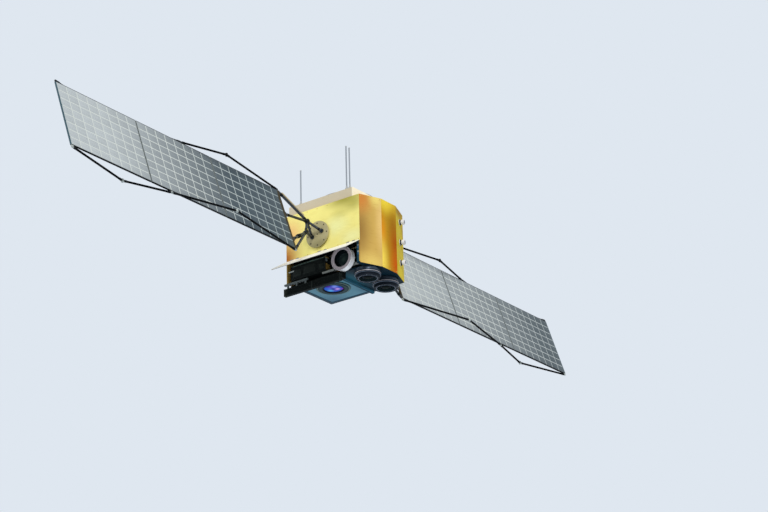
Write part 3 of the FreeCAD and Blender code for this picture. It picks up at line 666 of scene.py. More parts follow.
    def piece(
        self, name: str, finish: Finish, slot: str = "ring_alloy", body: str = "bus"
    ) -> bpy.types.Object:
        """Makes the finished piece.

        Args:
            name: The piece's name.
            finish: Its finish.
            slot: Name of a material slot in the record; not used.
            body: The CAD body it rides on.

        Returns:
            The object.
        """
        mesh = self.data(name)
        mesh.materials.append(finish.material())
        return place_piece(name, mesh, body)


def place_piece(name: str, mesh: bpy.types.Mesh, body: str = "bus") -> bpy.types.Object:
    """Puts a finished mesh in the scene on its body.

    Args:
        name: The piece's name.
        mesh: Its mesh, with its place in it.
        body: The CAD body it rides on.

    Returns:
        The object.
    """
    piece = bpy.data.objects.new(name, mesh)
    bpy.context.scene.collection.objects.link(piece)
    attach(piece, body)
    log.info("%s: %d faces on %s", name, len(mesh.polygons), body)
    return piece


def dress(finish: Finish, *nodes: str) -> None:
    """Gives CAD nodes a finish.

    Args:
        finish: The finish.
        nodes: Names of the nodes.
    """
    for node in nodes:
        for slot in frame["nodes"][node].material_slots:
            slot.material = finish.material()
        log.info("%s: %s", node, finish.name)


def box_of(node: str) -> tuple[Vector, Vector]:
    """Gives a node's lowest and highest corners at rest."""
    low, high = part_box(node)
    return Vector(low), Vector(high)


def stand(point: Vector, axis: Vector) -> Matrix:
    """Gives a frame at a point with its Z along an axis."""
    return Matrix.Translation(point) @ axis.to_track_quat("Z", "Y").to_matrix().to_4x4()


def joint_place(name: str) -> Vector:
    """Gives the point that a joint turns about."""
    return Vector(next(j["pos_m"] for j in frame["joints"] if j["name"] == name))


def dome(
    radius: float, base: float, rise: float, angles: Sequence[float]
) -> list[Pair]:
    """Gives the section of a lens's face, from its crown to its rim, at angles from the axis."""
    return [(radius * math.sin(a), base + rise * math.cos(a)) for a in (*angles, math.pi / 2)]


# ---- Patterns of small parts ----


class Layout(Enum):
    """How a pattern sets its part out."""

    LINE = "line"
    RING = "ring"
    GRID = "grid"


class Pattern:
    """A Geometry Nodes tree that sets one small part out many times.

    The object that carries it holds the part's mesh, which comes in as the first input.
    """

    INPUTS: dict[str, tuple[str, ...]] = {
        "Geometry": ("Part",), "Int": ("Count", "Count Across", "Seed"),
        "Vector": ("Start", "Step", "Place"),
        "Float": ("Radius", "Width", "Depth", "Clear", "Size"), "Rotation": ("Turn",),
        "Material": ("Finish",)
    }

    def __init__(self, layout: Layout) -> None:
        """Builds the tree.

        Args:
            layout: How it sets its part out.
        """
        tree = self.tree = bpy.data.node_groups.new(f"set_out_{layout.value}", "GeometryNodeTree")
        for kind, names in self.INPUTS.items():
            for name in names:
                tree.interface.new_socket(name, in_out="INPUT", socket_type=f"NodeSocket{kind}")
        tree.interface.new_socket("Result", in_out="OUTPUT", socket_type="NodeSocketGeometry")
        given = add_node(tree, "NodeGroupInput").outputs
        set_out = {Layout.LINE: self.line, Layout.RING: self.ring, Layout.GRID: self.grid}
        points = {**set_out[layout](given), "Instance": given["Part"], "Scale": given["Size"]}
        copies = add_node(tree, "GeometryNodeInstanceOnPoints", points)
        tone = add_node(tree, "FunctionNodeRandomValue", {"Seed": given["Seed"]}).outputs[1]
        store = {"domain": "INSTANCE", "Name": "tile_tone", "Geometry": copies, "Value": tone}
        toned = add_node(tree, "GeometryNodeStoreNamedAttribute", store)
        real = add_node(tree, "GeometryNodeRealizeInstances", {0: toned})
        moves = {0: real, "Translation": given["Place"], "Rotation": given["Turn"]}
        placed = add_node(tree, "GeometryNodeTransform", moves)
        finished = {"Geometry": placed, "Material": given["Finish"]}
        add_node(tree, "NodeGroupOutput", {0: add_node(tree, "GeometryNodeSetMaterial", finished)})

    def line(self, given: Any) -> dict[str, Any]:
        """Sets points along a line."""
        steps = {"Count": given["Count"], "Start Location": given["Start"], "Offset": given["Step"]}
        return {"Points": add_node(self.tree, "GeometryNodeMeshLine", steps)}

    def ring(self, given: Any) -> dict[str, Any]:
        """Sets points round a ring, each copy's X pointing outwards.

        Args:
            given: The tree's inputs by name.

        Returns:
            The points, and the copies' rotation.
        """
        circle = {"Vertices": given["Count"], "Radius": given["Radius"]}
        outwards = {"axis": "X", "pivot_axis": "Z"}
        outwards["Vector"] = add_node(self.tree, "GeometryNodeInputPosition")
        return {
            "Points": add_node(self.tree, "GeometryNodeMeshCircle", circle),
            "Rotation": add_node(self.tree, "FunctionNodeAlignRotationToVector", outwards)
        }

    def grid(self, given: Any) -> dict[str, Any]:
        """Sets points on a grid, leaving a clear disc round Start.

        Args:
            given: The tree's inputs by name.

        Returns:
            The points.
        """
        span = {"Size X": given["Width"], "Size Y": given["Depth"]}
        count = {"Vertices X": given["Count"], "Vertices Y": given["Count Across"]}
        points = add_node(self.tree, "GeometryNodeMeshGrid", {**span, **count})
        place = add_node(self.tree, "GeometryNodeInputPosition")
        spoke = {"operation": "DISTANCE", 0: place, 1: given["Start"]}
        away = add_node(self.tree, "ShaderNodeVectorMath", spoke).outputs["Value"]
        inside = {"operation": "LESS_THAN", 0: away, 1: given["Clear"]}
        cut = {"Geometry": points, "Selection": add_node(self.tree, "FunctionNodeCompare", inside)}
        return {"Points": add_node(self.tree, "GeometryNodeDeleteGeometry", cut)}

    def run(self, part: Shape, finish: Finish, **inputs: Any) -> bpy.types.Mesh:
        """Sets the part out and gives the result as a plain mesh.

        Args:
            part: The small part, standing on its own XY plane.
            finish: Its finish.
            inputs: Values by input name, with underscores for spaces.

        Returns:
            The mesh of all copies.
        """
        source = part.data("part")
        carrier = bpy.data.objects.new("carrier", source)
        bpy.context.scene.collection.objects.link(carrier)
        modifier = carrier.modifiers.new("set_out", "NODES")
        modifier.node_group = self.tree
        values = {"Size": 1.0, "Finish": finish.material(), "Count": 1, "Seed": 7}
        values.update({name.replace("_", " "): value for name, value in inputs.items()})
        for item in self.tree.interface.items_tree:
            if item.in_out == "INPUT" and item.name in values:
                modifier[item.identifier] = values[item.name]
        bpy.context.view_layer.update()
        graph = bpy.context.evaluated_depsgraph_get()
        mesh = bpy.data.meshes.new_from_object(carrier.evaluated_get(graph))
        bpy.data.objects.remove(carrier)
        bpy.data.meshes.remove(source)
        return mesh


PATTERNS: dict[Layout, Pattern] = {layout: Pattern(layout) for layout in Layout}


@dataclass
class Fasteners:
    """Small parts of one finish on one body, gathered run by run into one piece."""

    name: str
    finish: Finish
    slot: str = "ring_alloy"
    body: str = "bus"
    runs: list[bpy.types.Mesh] = field(default_factory=list)

    def line(
        self, part: Shape, start: Vector, end: Vector, count: int, facing: Vector
    ) -> "Fasteners":
        """Sets a part out along a line.

        Args:
            part: The part.
            start: Place of the first copy.
            end: Place of the last copy.
            count: Number of copies.
            facing: The way they stand.

        Returns:
            The fasteners.
        """
        back = facing.to_track_quat("Z", "Y").inverted()
        step = tuple(back @ ((end - start) / max(count - 1, 1)))
        return self.add(Layout.LINE, part, start, facing, Count=count, Step=step)

    def ring(
        self, part: Shape, centre: Vector, facing: Vector, radius: float, count: int
    ) -> "Fasteners":
        """Sets a part out round a ring about facing."""
        return self.add(Layout.RING, part, centre, facing, Count=count, Radius=radius)

    def add(
        self, layout: Layout, part: Shape, place: Vector, facing: Vector, **inputs: Any
    ) -> "Fasteners":
        """Adds one run of a pattern.

        Args:
            layout: The pattern's layout.
            part: The part.
            place: Where the pattern stands.
            facing: The way its parts stand.
            inputs: The pattern's other inputs.

        Returns:
            The fasteners.
        """
        turn = facing.to_track_quat("Z", "Y").to_euler()
        mesh = PATTERNS[layout].run(part, self.finish, Turn=turn, Place=tuple(place), **inputs)
        self.runs.append(mesh)
        return self

    def piece(self) -> bpy.types.Object:
        """Joins the runs into one piece.

        Returns:
            The object.
        """
        gathered = bmesh.new()
        for mesh in self.runs:
            gathered.from_mesh(mesh)
            bpy.data.meshes.remove(mesh)
        mesh = bpy.data.meshes.new(self.name)
        gathered.to_mesh(mesh)
        gathered.free()
        mesh.materials.append(self.finish.material())
        mesh.set_sharp_from_angle(angle=SMOOTH_BELOW)
        return place_piece(self.name, mesh, self.body)


def screw(radius: float = 0.0045, height: float = 0.003) -> Shape:
    """Gives a cap screw's head on its washer, with a socket, on its own XY plane."""
    section = (
        (0.0, 0.0), (1.5, 0.0), (1.5, 0.25), (1.0, 0.3), (1.0, 0.85), (0.82, 1.0), (0.45, 1.0),
        (0.42, 0.5), (0.0, 0.5)
    )
    return Shape().lathe([(radius * r, height * h) for r, h in section], steps=12)


def stud(radius: float = 0.009) -> Shape:
    """Gives a film stud's domed head."""
    section = ((0.0, 0.0), (1.0, 0.0), (0.9, 0.25), (0.4, 0.4), (0.0, 0.42))
    return Shape().lathe([(radius * r, radius * h) for r, h in section], steps=12)


# ---- The finishes of this satellite ----

# Film on the bay side: pale gold, with painted shade that turns it olive under the deck, painted
# highlights towards the front and a painted copper reflection at the rear corner.
FILM_BAY_SIDE = CrinkledFilm(
    "gold_polyimide_film_bay_side", "#fff290", roughness=0.36, metallic=0.3, ior=1.15,
    clouding=0.04, cloud_mm=260, grain=1.0, crease_mm=(240, 60), painted_crease_shading="#dccb62",
    painted_crease_share=0.25,
    painted_light_and_shade=(
        Glow((-0.626, -0.42, -0.25), (1, 0.60, 0.24), "#9c9434", 0.85),
        Glow((-0.626, -0.62, -0.40), (1, 0.34, 0.22), "#a29a3c", 0.6),
        Glow((-0.626, -0.30, -0.51), (1, 0.28, 0.17), "#b0a646", 0.4),
        Glow((-0.626, -0.20, -0.72), (1, 0.44, 0.28), "#fffcb0", 0.9),
        Glow((-0.626, -0.55, -1.00), (1, 0.36, 0.22), "#fffdb8", 0.7),
        Glow((-0.626, 0.84, -0.62), (1, 0.46, 0.42), "#f8be7c", 0.9),
        Glow((-0.626, 0.96, -0.50), (1, 0.20, 0.40), "#e88a34", 0.9),
        Glow((-0.626, 0.93, -1.05), (1, 0.50, 0.44), "#b4601c", 1.0),
        Glow((-0.626, 0.16, -1.12), (1, 0.12, 0.26), "#cfc160", 0.4)
    )
)
# Film on the first slanted facet, with painted reflections and shade: copper at the corner, pale
# gold at the far edge.
FILM_FACET_LEFT = CrinkledFilm(
    "amber_polyimide_film", "#d0aa58", roughness=0.40, metallic=0.3, ior=1.12, clouding=0.05,
    cloud_mm=300, grain=0.9, crease_mm=(150, 14), painted_crease_shading="#a8702a", painted_crease_share=0.4,
    painted_light_and_shade=(
        Glow((-0.21, -0.88, -0.70), (0.17, 1, 0.85), "#ecc67c", 0.9),
        Glow((-0.66, -0.70, -0.92), (0.34, 1, 0.78), "#8e6834", 0.85),
        Glow((-0.60, -0.72, -0.32), (0.30, 1, 0.42), "#d2863e", 1.0),
        Glow((-0.31, -0.84, -0.24), (0.20, 1, 0.30), "#f4dc7c", 0.9),
        Glow((-0.40, -0.80, -1.50), (0.40, 1, 0.30), "#e8c86c", 0.9)
    )
)
# Film on the middle facet, with painted reflections and shade: yellow gold, burnt orange towards
# its lower corner.
FILM_FACET_FRONT = CrinkledFilm(
    "deep_gold_polyimide_film", "#bc8e1c", roughness=0.42, metallic=0.2, ior=1.08, clouding=0.05,
    cloud_mm=300, grain=0.9, crease_mm=(150, 14), painted_crease_shading="#8a5008", painted_crease_share=0.4,
    painted_light_and_shade=(
        Glow((-0.12, -0.885, -0.24), (0.50, 1, 0.38), "#f3d640", 1.0),
        Glow((-0.20, -0.885, -0.84), (0.18, 1, 0.50), "#e0921c", 1.0),
        Glow((-0.24, -0.885, -1.42), (0.28, 1, 0.66), "#ffe05c", 1.0),
        Glow((0.12, -0.885, -0.66), (0.24, 1, 0.42), "#9a660c", 0.75),
        Glow((0.20, -0.885, -1.00), (0.33, 1, 0.50), "#aa5200", 1.0),
        Glow((0.21, -0.885, -1.38), (0.29, 1, 0.44), "#c65600", 1.0)
    )
)
# Film on the last slanted facet: olive gold, with painted shade along its top, a painted highlight
# low down and painted shade in its upright creases.
FILM_FACET_RIGHT = CrinkledFilm(
    "olive_gold_polyimide_film", "#ccb428", roughness=0.5, metallic=0.15, ior=1.12, clouding=0.10,
    cloud_mm=150, grain=0.9, crease_mm=(40, 300), painted_crease_shading="#7c6a10", painted_crease_share=0.6,
    painted_light_and_shade=(
        Glow((0.40, -0.80, -0.28), (0.40, 1, 0.20), "#986c20", 0.9),
        Glow((0.60, -0.72, -0.60), (0.10, 1, 0.30), "#b68a18", 0.7),
        Glow((0.45, -0.79, -1.45), (0.30, 1, 0.30), "#dcc42a", 0.8)
    )
)
# Film on the sides that face away: the same gold with loose copper clouds and painted shade in its
# creases.
FILM_FAR_SIDE = CrinkledFilm(
    "gold_polyimide_film_far_side", "#d9b84c", roughness=0.36, metallic=0.55, clouding=0.16,
    cloud_mm=420, grain=1.2, crease_mm=(220, 40), painted_crease_shading="#a46c20", painted_crease_share=0.4
)
# Moulded caps of the film's studs.
STUD_GOLD = Finish("gold_stud_cap", "#c8ae58", 0.5, ior=1.3, clouding=0.1)
# Bare tan face sheet at the rear panel's cut edge by the bay.
PANEL_EDGE_TAN = Finish("tan_sandwich_face_sheet", "#94783a", 0.6, ior=1.25, clouding=0.15)
# Black film inside the bay, with a painted copper pool of light where light gets in and a paler
# painted sheen in its creases.
BAY_FILM = CrinkledFilm(
    "black_polyimide_film", "#0d0e0e", roughness=0.5, metallic=0.1, clouding=0.3, grain=1.0,
    crease_mm=(120, 40), painted_crease_shading="#2a1d08", painted_crease_share=0.4,
    painted_light_and_shade=(Glow((-0.30, -0.06, -1.34), (1, 0.16, 0.16), "#7a5410", 0.9),)
)
# Sprayed white paint on the cover: warm and dead matt.
COVER_PAINT = Finish("white_thermal_paint", "#f4f0e2", 0.62, clouding=0.03, grain=0.06)
# Cream silicone thermal paint on the zenith deck, with a painted highlight that lightens its front
# side.
DECK_PAINT = Finish(
    "cream_thermal_paint", "#cbbfa4", 0.6, ior=1.3, clouding=0.03, cloud_mm=300,
    painted_light_and_shade=(Glow((0.30, -0.56, -0.16), (6.0, 0.03, 4.0), "#fff6dc"),)
)
# Second-surface mirror tiles of the radiator: silver under quartz.
MIRROR_TILE = Finish(
    "silvered_quartz_tile", "#c9cfd4", 0.1, metallic=0.8, clouding=0.05, grain=0.01
)
# Milled aluminium of the ring, left clear-anodised.
RING_ALLOY = CutMetal(
    "clear_anodised_aluminium", "#a7a9ab", 0.34, 1.0, clouding=0.05, lay=Lay.TURNED_Z
)
# Milled aluminium of brackets and rails.
BRACKET_ALLOY = CutMetal("milled_aluminium", "#9a9c9c", 0.38, 1.0, clouding=0.06)
# Chromate coating on the turned drive flange: khaki, dull, with painted shade on the lower part of
# the left flange.
FLANGE_CHROMATE = CutMetal(
    "chromated_aluminium", "#b2a87c", 0.6, 0.1, clouding=0.10,
    painted_light_and_shade=(Glow((-0.66, 0.165, -1.00), (1, 0.5, 0.20), "#847d52", 0.9),), cloud_mm=60, grain=0.05,
    lay=Lay.TURNED_X, centre=(0.0, 0.165, -0.779)
)
# Carbon cloth tube in clear resin, with a painted sheen on its tows.
TUBE_CARBON = WovenLaminate(
    "carbon_cloth_tube", "#0b0f13", 0.42, coat=0.15, clouding=0.2, grain=0.08
)
# Carbon face sheet on the back of the panels, with a painted sheen on its tows.
BACK_CARBON = WovenLaminate(
    "carbon_face_sheet", "#14181b", 0.5, clouding=0.2, grain=0.06, tow_mm=14
)
# Glass-cloth tape round the power harness: beige.
HARNESS_TAPE = Finish(
    "glass_cloth_tape", "#b3a482", 0.7, clouding=0.2, cloud_mm=18, grain_mm=3, grain=0.2
)
# Black satin anodising on optics.
OPTIC_BLACK = CutMetal("black_anodised_aluminium", "#141b24", 0.45, 0.0, 1.13, lay=Lay.TURNED_Z)
# Optical black paint inside the hoods and the telescope.
BORE_BLACK = Finish("optical_black_paint", "#151f21", 0.9, ior=1.05, clouding=0.2, grain=0.08)
# Blued collars at the cameras' feet.
COLLAR_BLUED = CutMetal("blued_steel", "#39434f", 0.3, 0.6, 1.4, lay=Lay.TURNED_Z)
# Blued edges of their hoods: paler.
EDGE_BLUED = CutMetal("blued_aluminium", "#6a7686", 0.35, 0.5, lay=Lay.TURNED_Z)
# Bare band round a camera: a neutral grey line on the black barrel.
RING_GREY = CutMetal("grey_anodised_aluminium", "#98969a", 0.4, 0.3, 1.3, lay=Lay.TURNED_Z)
# Dark grey-blue anodising on the main lens's flange.
FLANGE_ANODISED = CutMetal(
    "grey_blue_anodised_aluminium", "#2c4145", 0.45, ior=1.12, lay=Lay.TURNED_Z
)
# Grey-green anodising on the ring let into that flange: a paler step in it.
RING_GREEN = CutMetal("grey_green_anodised_aluminium", "#55706c", 0.45, ior=1.12, lay=Lay.TURNED_Z)
# Main lens: painted reflections of its coating, violet and blue rings that fall to black at the
# rim.
LENS_COATING = CoatedGlass(
    "multi_coated_lens_glass", "#2848c0", 0.08,
    rings=(
        (0.0, "#2a2a86"), (0.16, "#4a50bc"), (0.42, "#6a52c4"), (0.66, "#3c5cc4"),
        (0.86, "#2454bc"), (0.95, "#142054"), (1.0, "#070b1a")
    )
)
# Its painted reflections and highlights: offset and reach along X and Y in metres, colour,
# strength.
LENS_PAINTED_REFLECTIONS = (
    (-0.145, 0.010, 0.090, 0.090, "#5a1ca4", 0.9), (-0.185, 0.000, 0.060, 0.090, "#200a54", 0.9),
    (-0.066, 0.094, 0.080, 0.080, "#2f6ce2", 0.95), (-0.070, 0.030, 0.056, 0.056, "#4478da", 0.9),
    (0.036, 0.090, 0.088, 0.088, "#56b8ee", 0.95), (0.104, -0.118, 0.060, 0.060, "#963cc6", 0.9),
    (-0.082, -0.094, 0.090, 0.076, "#88a6f6", 0.9), (-0.050, -0.050, 0.056, 0.056, "#8c8cea", 0.8),
    (0.046, -0.056, 0.066, 0.066, "#dcaef2", 1.0), (-0.008, 0.010, 0.034, 0.030, "#17306e", 1.0)
)
# Camera lenses: nearly black, with painted reflections: a green heart and two grey rings.
CAMERA_COATING = CoatedGlass(
    "camera_lens_coating", "#0c1a1c", 0.08,
    rings=(
        (0.0, "#0c2018"), (0.35, "#060c0c"), (0.62, "#080e10"), (0.80, "#1c242c"),
        (0.90, "#080a0c"), (1.0, "#2c3440")
    )
)
# Telescope's objective at the end of its black tube: dull grey-green, in faint rings of painted
# reflection.
OBJECTIVE_COATING = CoatedGlass(
    "telescope_objective_coating", "#141a1c", 0.3, radius=0.16, axis=0,
    rings=((0.0, "#2e3e38"), (0.4, "#1e2a2a"), (0.75, "#263232"), (1.0, "#141c1c"))
)
# Teal enamel on the nadir deck: dark, nearly navy, with a paler teal patch of painted light.
DECK_ENAMEL = Finish(
    "dark_teal_enamel", "#04222f", 0.6, ior=1.2, clouding=0.1, cloud_mm=300,
    painted_light_and_shade=(Glow((-0.10, -0.16, -1.52), (0.60, 0.26, 1), "#1c5868", 0.8),)
)
# Teal enamel on the rib.
RIB_ENAMEL = Finish("teal_enamel", "#346a80", 0.5, ior=1.2, clouding=0.08)
# Deep teal enamel on the bay's jamb.
JAMB_ENAMEL = Finish("deep_teal_enamel", "#143a4a", 0.5, ior=1.2, clouding=0.08)
# Pale teal enamel on the lens plate, with a painted highlight and patches of painted shade towards
# its corners.
PLATE_ENAMEL = Finish(
    "pale_teal_enamel", "#4b8092", 0.45, ior=1.3, clouding=0.05, cloud_mm=260,
    painted_light_and_shade=(
        Glow((0.62, 0.10, -1.54), (0.24, 0.44, 1), "#6790a4", 0.8),
        Glow((0.44, -0.02, -1.54), (0.42, 0.22, 1), "#2c6278", 0.8),
        Glow((0.58, 0.74, -1.54), (0.56, 0.48, 1), "#24556c", 0.9),
        Glow((-0.46, 0.86, -1.54), (0.40, 0.30, 1), "#34667e", 0.8)
    )
)
# Matt black paint on electronics boxes, with a paler patch of painted light low at their rear end.
BOX_BLACK = Finish(
    "matt_black_paint", "#0e1413", 0.7, ior=1.2, clouding=0.15, grain=0.08,
    painted_light_and_shade=(Glow((-0.60, 0.98, -1.65), (1, 0.14, 0.30), "#34382e", 0.8),)
)
# Dark grey-green alodine on the lids of those boxes.
BOX_LID = Finish("grey_green_conversion_coat", "#161d1a", 0.6, ior=1.25, clouding=0.15)
# Grey-green coat on the imager's slanted lid, paler than the box lids as painted light on the
# upward slope.
LID_GREEN = Finish("grey_green_enamel", "#526662", 0.5, ior=1.3, clouding=0.1)
# Mid-grey enamel on the recorders' rail.
RAIL_GREY = Finish("mid_grey_enamel", "#5a6262", 0.5, ior=1.2, clouding=0.08)
# Mauve-grey enamel on the telescope's front ring.
TELESCOPE_ENAMEL = Finish("mauve_grey_enamel", "#a69ca0", 0.5, ior=1.3, clouding=0.04)
# White enamel on the telescope's tube and rim: the brightest thing in the bay.
TUBE_WHITE = Finish("white_enamel", "#ffffff", 0.4, clouding=0.0)
# Grey enamel on the conduits, with a painted patch of white sunlight where the sun reaches them.
CONDUIT_GREY = Finish(
    "grey_enamel", "#7c7f7a", 0.45, ior=1.3, clouding=0.06,
    painted_light_and_shade=(Glow((-0.44, -0.66, -1.43), (1, 0.16, 1), "#f8fafa"),)
)
# White moulded housing of the sun sensors.
SENSOR_WHITE = Finish("white_anodised_housing", "#dedee4", 0.35, clouding=0.04)
# Glass over the sensors' slits: dark and glossy.
SENSOR_GLASS = Finish("sensor_cover_glass", "#31363f", 0.08, coat=0.6, clouding=0.1)
# Satin fibreglass of the whips.
WHIP_SATIN = Finish("satin_fibreglass", "#858c94", 0.42, clouding=0.05)
# Nylon ferrules and caps of the whips: paler than the rods.
WHIP_FOOT = Finish("nylon_insulator", "#a5a7a6", 0.5, clouding=0.1)
# Stainless screws and pins.
STEEL = CutMetal("stainless_steel", "#8b8d90", 0.3, 1.0, grain=0.01)
# Blacked screws, knee caps and fittings: dull, lost against the dark parts.
BLACK_STEEL = Finish("black_oxide_steel", "#0c0c0c", 0.55, metallic=0.3, ior=1.2)
# Pale fittings on the stays, white anodised.
FITTING_PALE = Finish("pale_anodised_fitting", "#a4aca8", 0.4, ior=1.3, clouding=0.05)
# Polyimide tape at each wing's root: dark amber.
EDGE_AMBER = Finish("amber_edge_tape", "#3c3420", 0.5, ior=1.2, clouding=0.25, cloud_mm=30)
# Polyimide strap and tray in the bay: clear amber over metal.
STRAP_AMBER = Finish("amber_polyimide_strap", "#7a6230", 0.5, ior=1.2, clouding=0.25, cloud_mm=30)
# Closeout at each wing's tip: dark teal.
EDGE_TEAL = Finish("teal_edge_closeout", "#31505a", 0.45, clouding=0.1)
# Closeouts along the panels' long edges and bonded collars: nearly black.
EDGE_BLACK = Finish("black_edge_closeout", "#0b0f12", 0.5, ior=1.2, clouding=0.1)
# Black polyimide film wrapped round the stays: satin.
WRAP_BLACK = Finish(
    "black_polyimide_wrap", "#07090c", 0.55, ior=1.1, clouding=0.2, cloud_mm=60, grain=0.1
)
# Closeouts between the panels: grey seams across the cells.
SEAM_GREY = Finish("grey_edge_closeout", "#6c7371", 0.5, ior=1.3, clouding=0.1)
# White face sheet that shows as lines between the cell blocks, with painted shade towards the left
# wing's root and the right wing's tip, following the cells' painted reflection.
PANEL_FACE = Finish(
    "white_polyimide_face_sheet", "#ccd2cd", 0.5, ior=1.2, clouding=0.03,
    painted_light_and_shade=(
        Glow((-1.2, 0.165, -0.78), (3.6, 9, 9), "#93a2a6", 0.9),
        Glow((7.4, 0.165, -0.78), (3.6, 9, 9), "#a4acae", 0.9)
    )
)
# Blue anodised connector shells in the bay's jamb.
CONNECTOR_BLUE = Finish("blue_connector_shell", "#3c6f9a", 0.35, metallic=0.4)
# Cells under cover glass, with a painted reflection: the left wing is pale at its tip, the right
# one at its root.
CELLS_LEFT = CellGlass(
    "solar_cell_cover_glass_left", "#b4bbbd", 0.4, ior=1.15, grain=0.02, root_reflection_tone="#48545b",
    root_x=-2.9, tip_x=-6.0
)
CELLS_RIGHT = replace(
    CELLS_LEFT, name="solar_cell_cover_glass_right", colour="#525c61", root_reflection_tone="#b0b7b9",
    root_x=1.8, tip_x=6.4
)


# ---- Places ----


@dataclass(frozen=True)
class Wing:
    """One array's own frame: x along the span from the centre, s across, n out of the cells."""

    side: str
    sign: int

    @property
    def body(self) -> str:
        """The CAD body."""
        return f"array_{self.side}"

    @property
    def matrix(self) -> Matrix:
        """The frame, with x in metres along the row's own X."""
        axis = joint_place(f"array_drive_{self.side}")
        return Matrix.Translation((0, axis.y, axis.z)) @ Matrix.Rotation(WING_TILT, 4, "X")

    @property
    def across(self) -> Vector:
        """Unit vector across the panels."""
        return self.matrix.to_3x3() @ Y

    @property
    def normal(self) -> Vector:
        """Unit vector out of the cell side."""
        return self.matrix.to_3x3() @ Z

    def at(self, x: float, s: float, n: float) -> Vector:
        """Gives a point of the wing in the row's frame."""
        return self.matrix @ Vector((self.sign * x, s, n))

    def block(
        self, shape: Shape, x: Sequence[float], s: Sequence[float], n: Sequence[float],
        edge: float = 0.0
    ) -> Shape:
        """Adds a block between bounds in the wing's frame."""
        span = sorted(self.sign * value for value in x)
        return shape.block((span[0], s[0], n[0]), (span[1], s[1], n[1]), edge, self.matrix)

    def piece(
        self, shape: Shape, name: str, finish: Finish, slot: str = "carbon_tube"
    ) -> bpy.types.Object:
        """Makes a piece that turns with the wing and is named after its side."""
        return shape.piece(f"{name}_{self.side}", finish, slot, self.body)


# ---- Body ----


@dataclass
class FilmFacings:
    """Crinkled film on the body's upright sides, held by rows of studs.

    The film stands proud of its panel by a little, with puckers that die out in its border.
    """

    pitch: float = 0.013
    proud: float = 0.0012
    pucker: float = 0.0036
    border: float = 0.06
    stud_pitch: float = 0.21
    stud_inset: float = 0.028

    def lift(self, place: Vector, edge: float) -> float:
        """Gives the film's height: broad pillows cut by short creases, flat at the edges.

        Args:
            place: The point on the panel.
            edge: Its distance to the nearest edge.

        Returns:
            The height over the panel.
        """
        pillow = 0.5 + 0.5 * noise.noise(Vector((place.x * 2.6, place.y * 2.6, place.z * 3.4)))
        crease = 1 - abs(noise.noise(Vector((place.x * 7, place.y * 7, place.z * 24 + 5))))
        fade = min(1.0, edge / self.border)
        return self.proud + self.pucker * fade * (0.45 * pillow + 0.55 * crease**3)

    def sides(self) -> list[tuple[str, Finish, Vector, Vector, Vector]]:
        """Lists the sides.

        Returns:
            Each side's name, finish, first corner, bottom edge and upright edge.
        """
        (left, _, _), (right, rear, _) = box_of("panel_rear")
        bottom, top = box_of("nadir_deck")[0].z, box_of("top_panel")[1].z
        opening = box_of("bay_roof")[0].z
        front, inner = box_of("facet_front")[0].y, box_of("facet_front")[1].x
        shoulder = box_of("facet_left")[1].y - PANEL_WALL
        outline = (
            (left, shoulder), (-inner, front), (inner, front), (right, shoulder), (right, rear),
            (left, rear)
        )
        corners = [Vector((x, y, bottom)) for x, y in outline]
        sides = [
            ("film_facet_left", FILM_FACET_LEFT), ("film_facet_front", FILM_FACET_FRONT),
            ("film_facet_right", FILM_FACET_RIGHT), ("film_right", FILM_FAR_SIDE),
            ("film_rear", FILM_FAR_SIDE)
        ]
        start = Vector((left, rear, opening))
        across = Vector((left, shoulder, opening)) - start
        return [("film_bay_side", FILM_BAY_SIDE, start, across, Z * (top - opening))] + [
            (*side, first, last - first, Z * (top - bottom))
            for side, first, last in zip(sides, corners, corners[1:])
        ]

    def build(self) -> None:
        """Makes the facings and their studs."""
        dress(FILM_FAR_SIDE, "panel_right", "top_panel")
        dress(PANEL_EDGE_TAN, "panel_rear")
        dress(FILM_BAY_SIDE, "panel_left")
        dress(FILM_FACET_LEFT, "facet_left")
        dress(FILM_FACET_FRONT, "facet_front")
        dress(FILM_FACET_RIGHT, "facet_right")
        studs = Fasteners("film_studs", STUD_GOLD)
        for name, finish, start, across, up in self.sides():
            Shape().sheet(start, across, up, self.pitch, self.lift).piece(name, finish, "mli_gold")
            out = across.cross(up).normalized()
            inset = across.normalized() * self.stud_inset
            count = max(2, round((across.length - 2 * self.stud_inset) / self.stud_pitch) + 1)
            for level in (self.stud_inset, up.length - self.stud_inset):
                low = start + inset + Z * level + out * self.proud
                studs.line(stud(), low, low + across - 2 * inset, count, out)
        studs.piece()


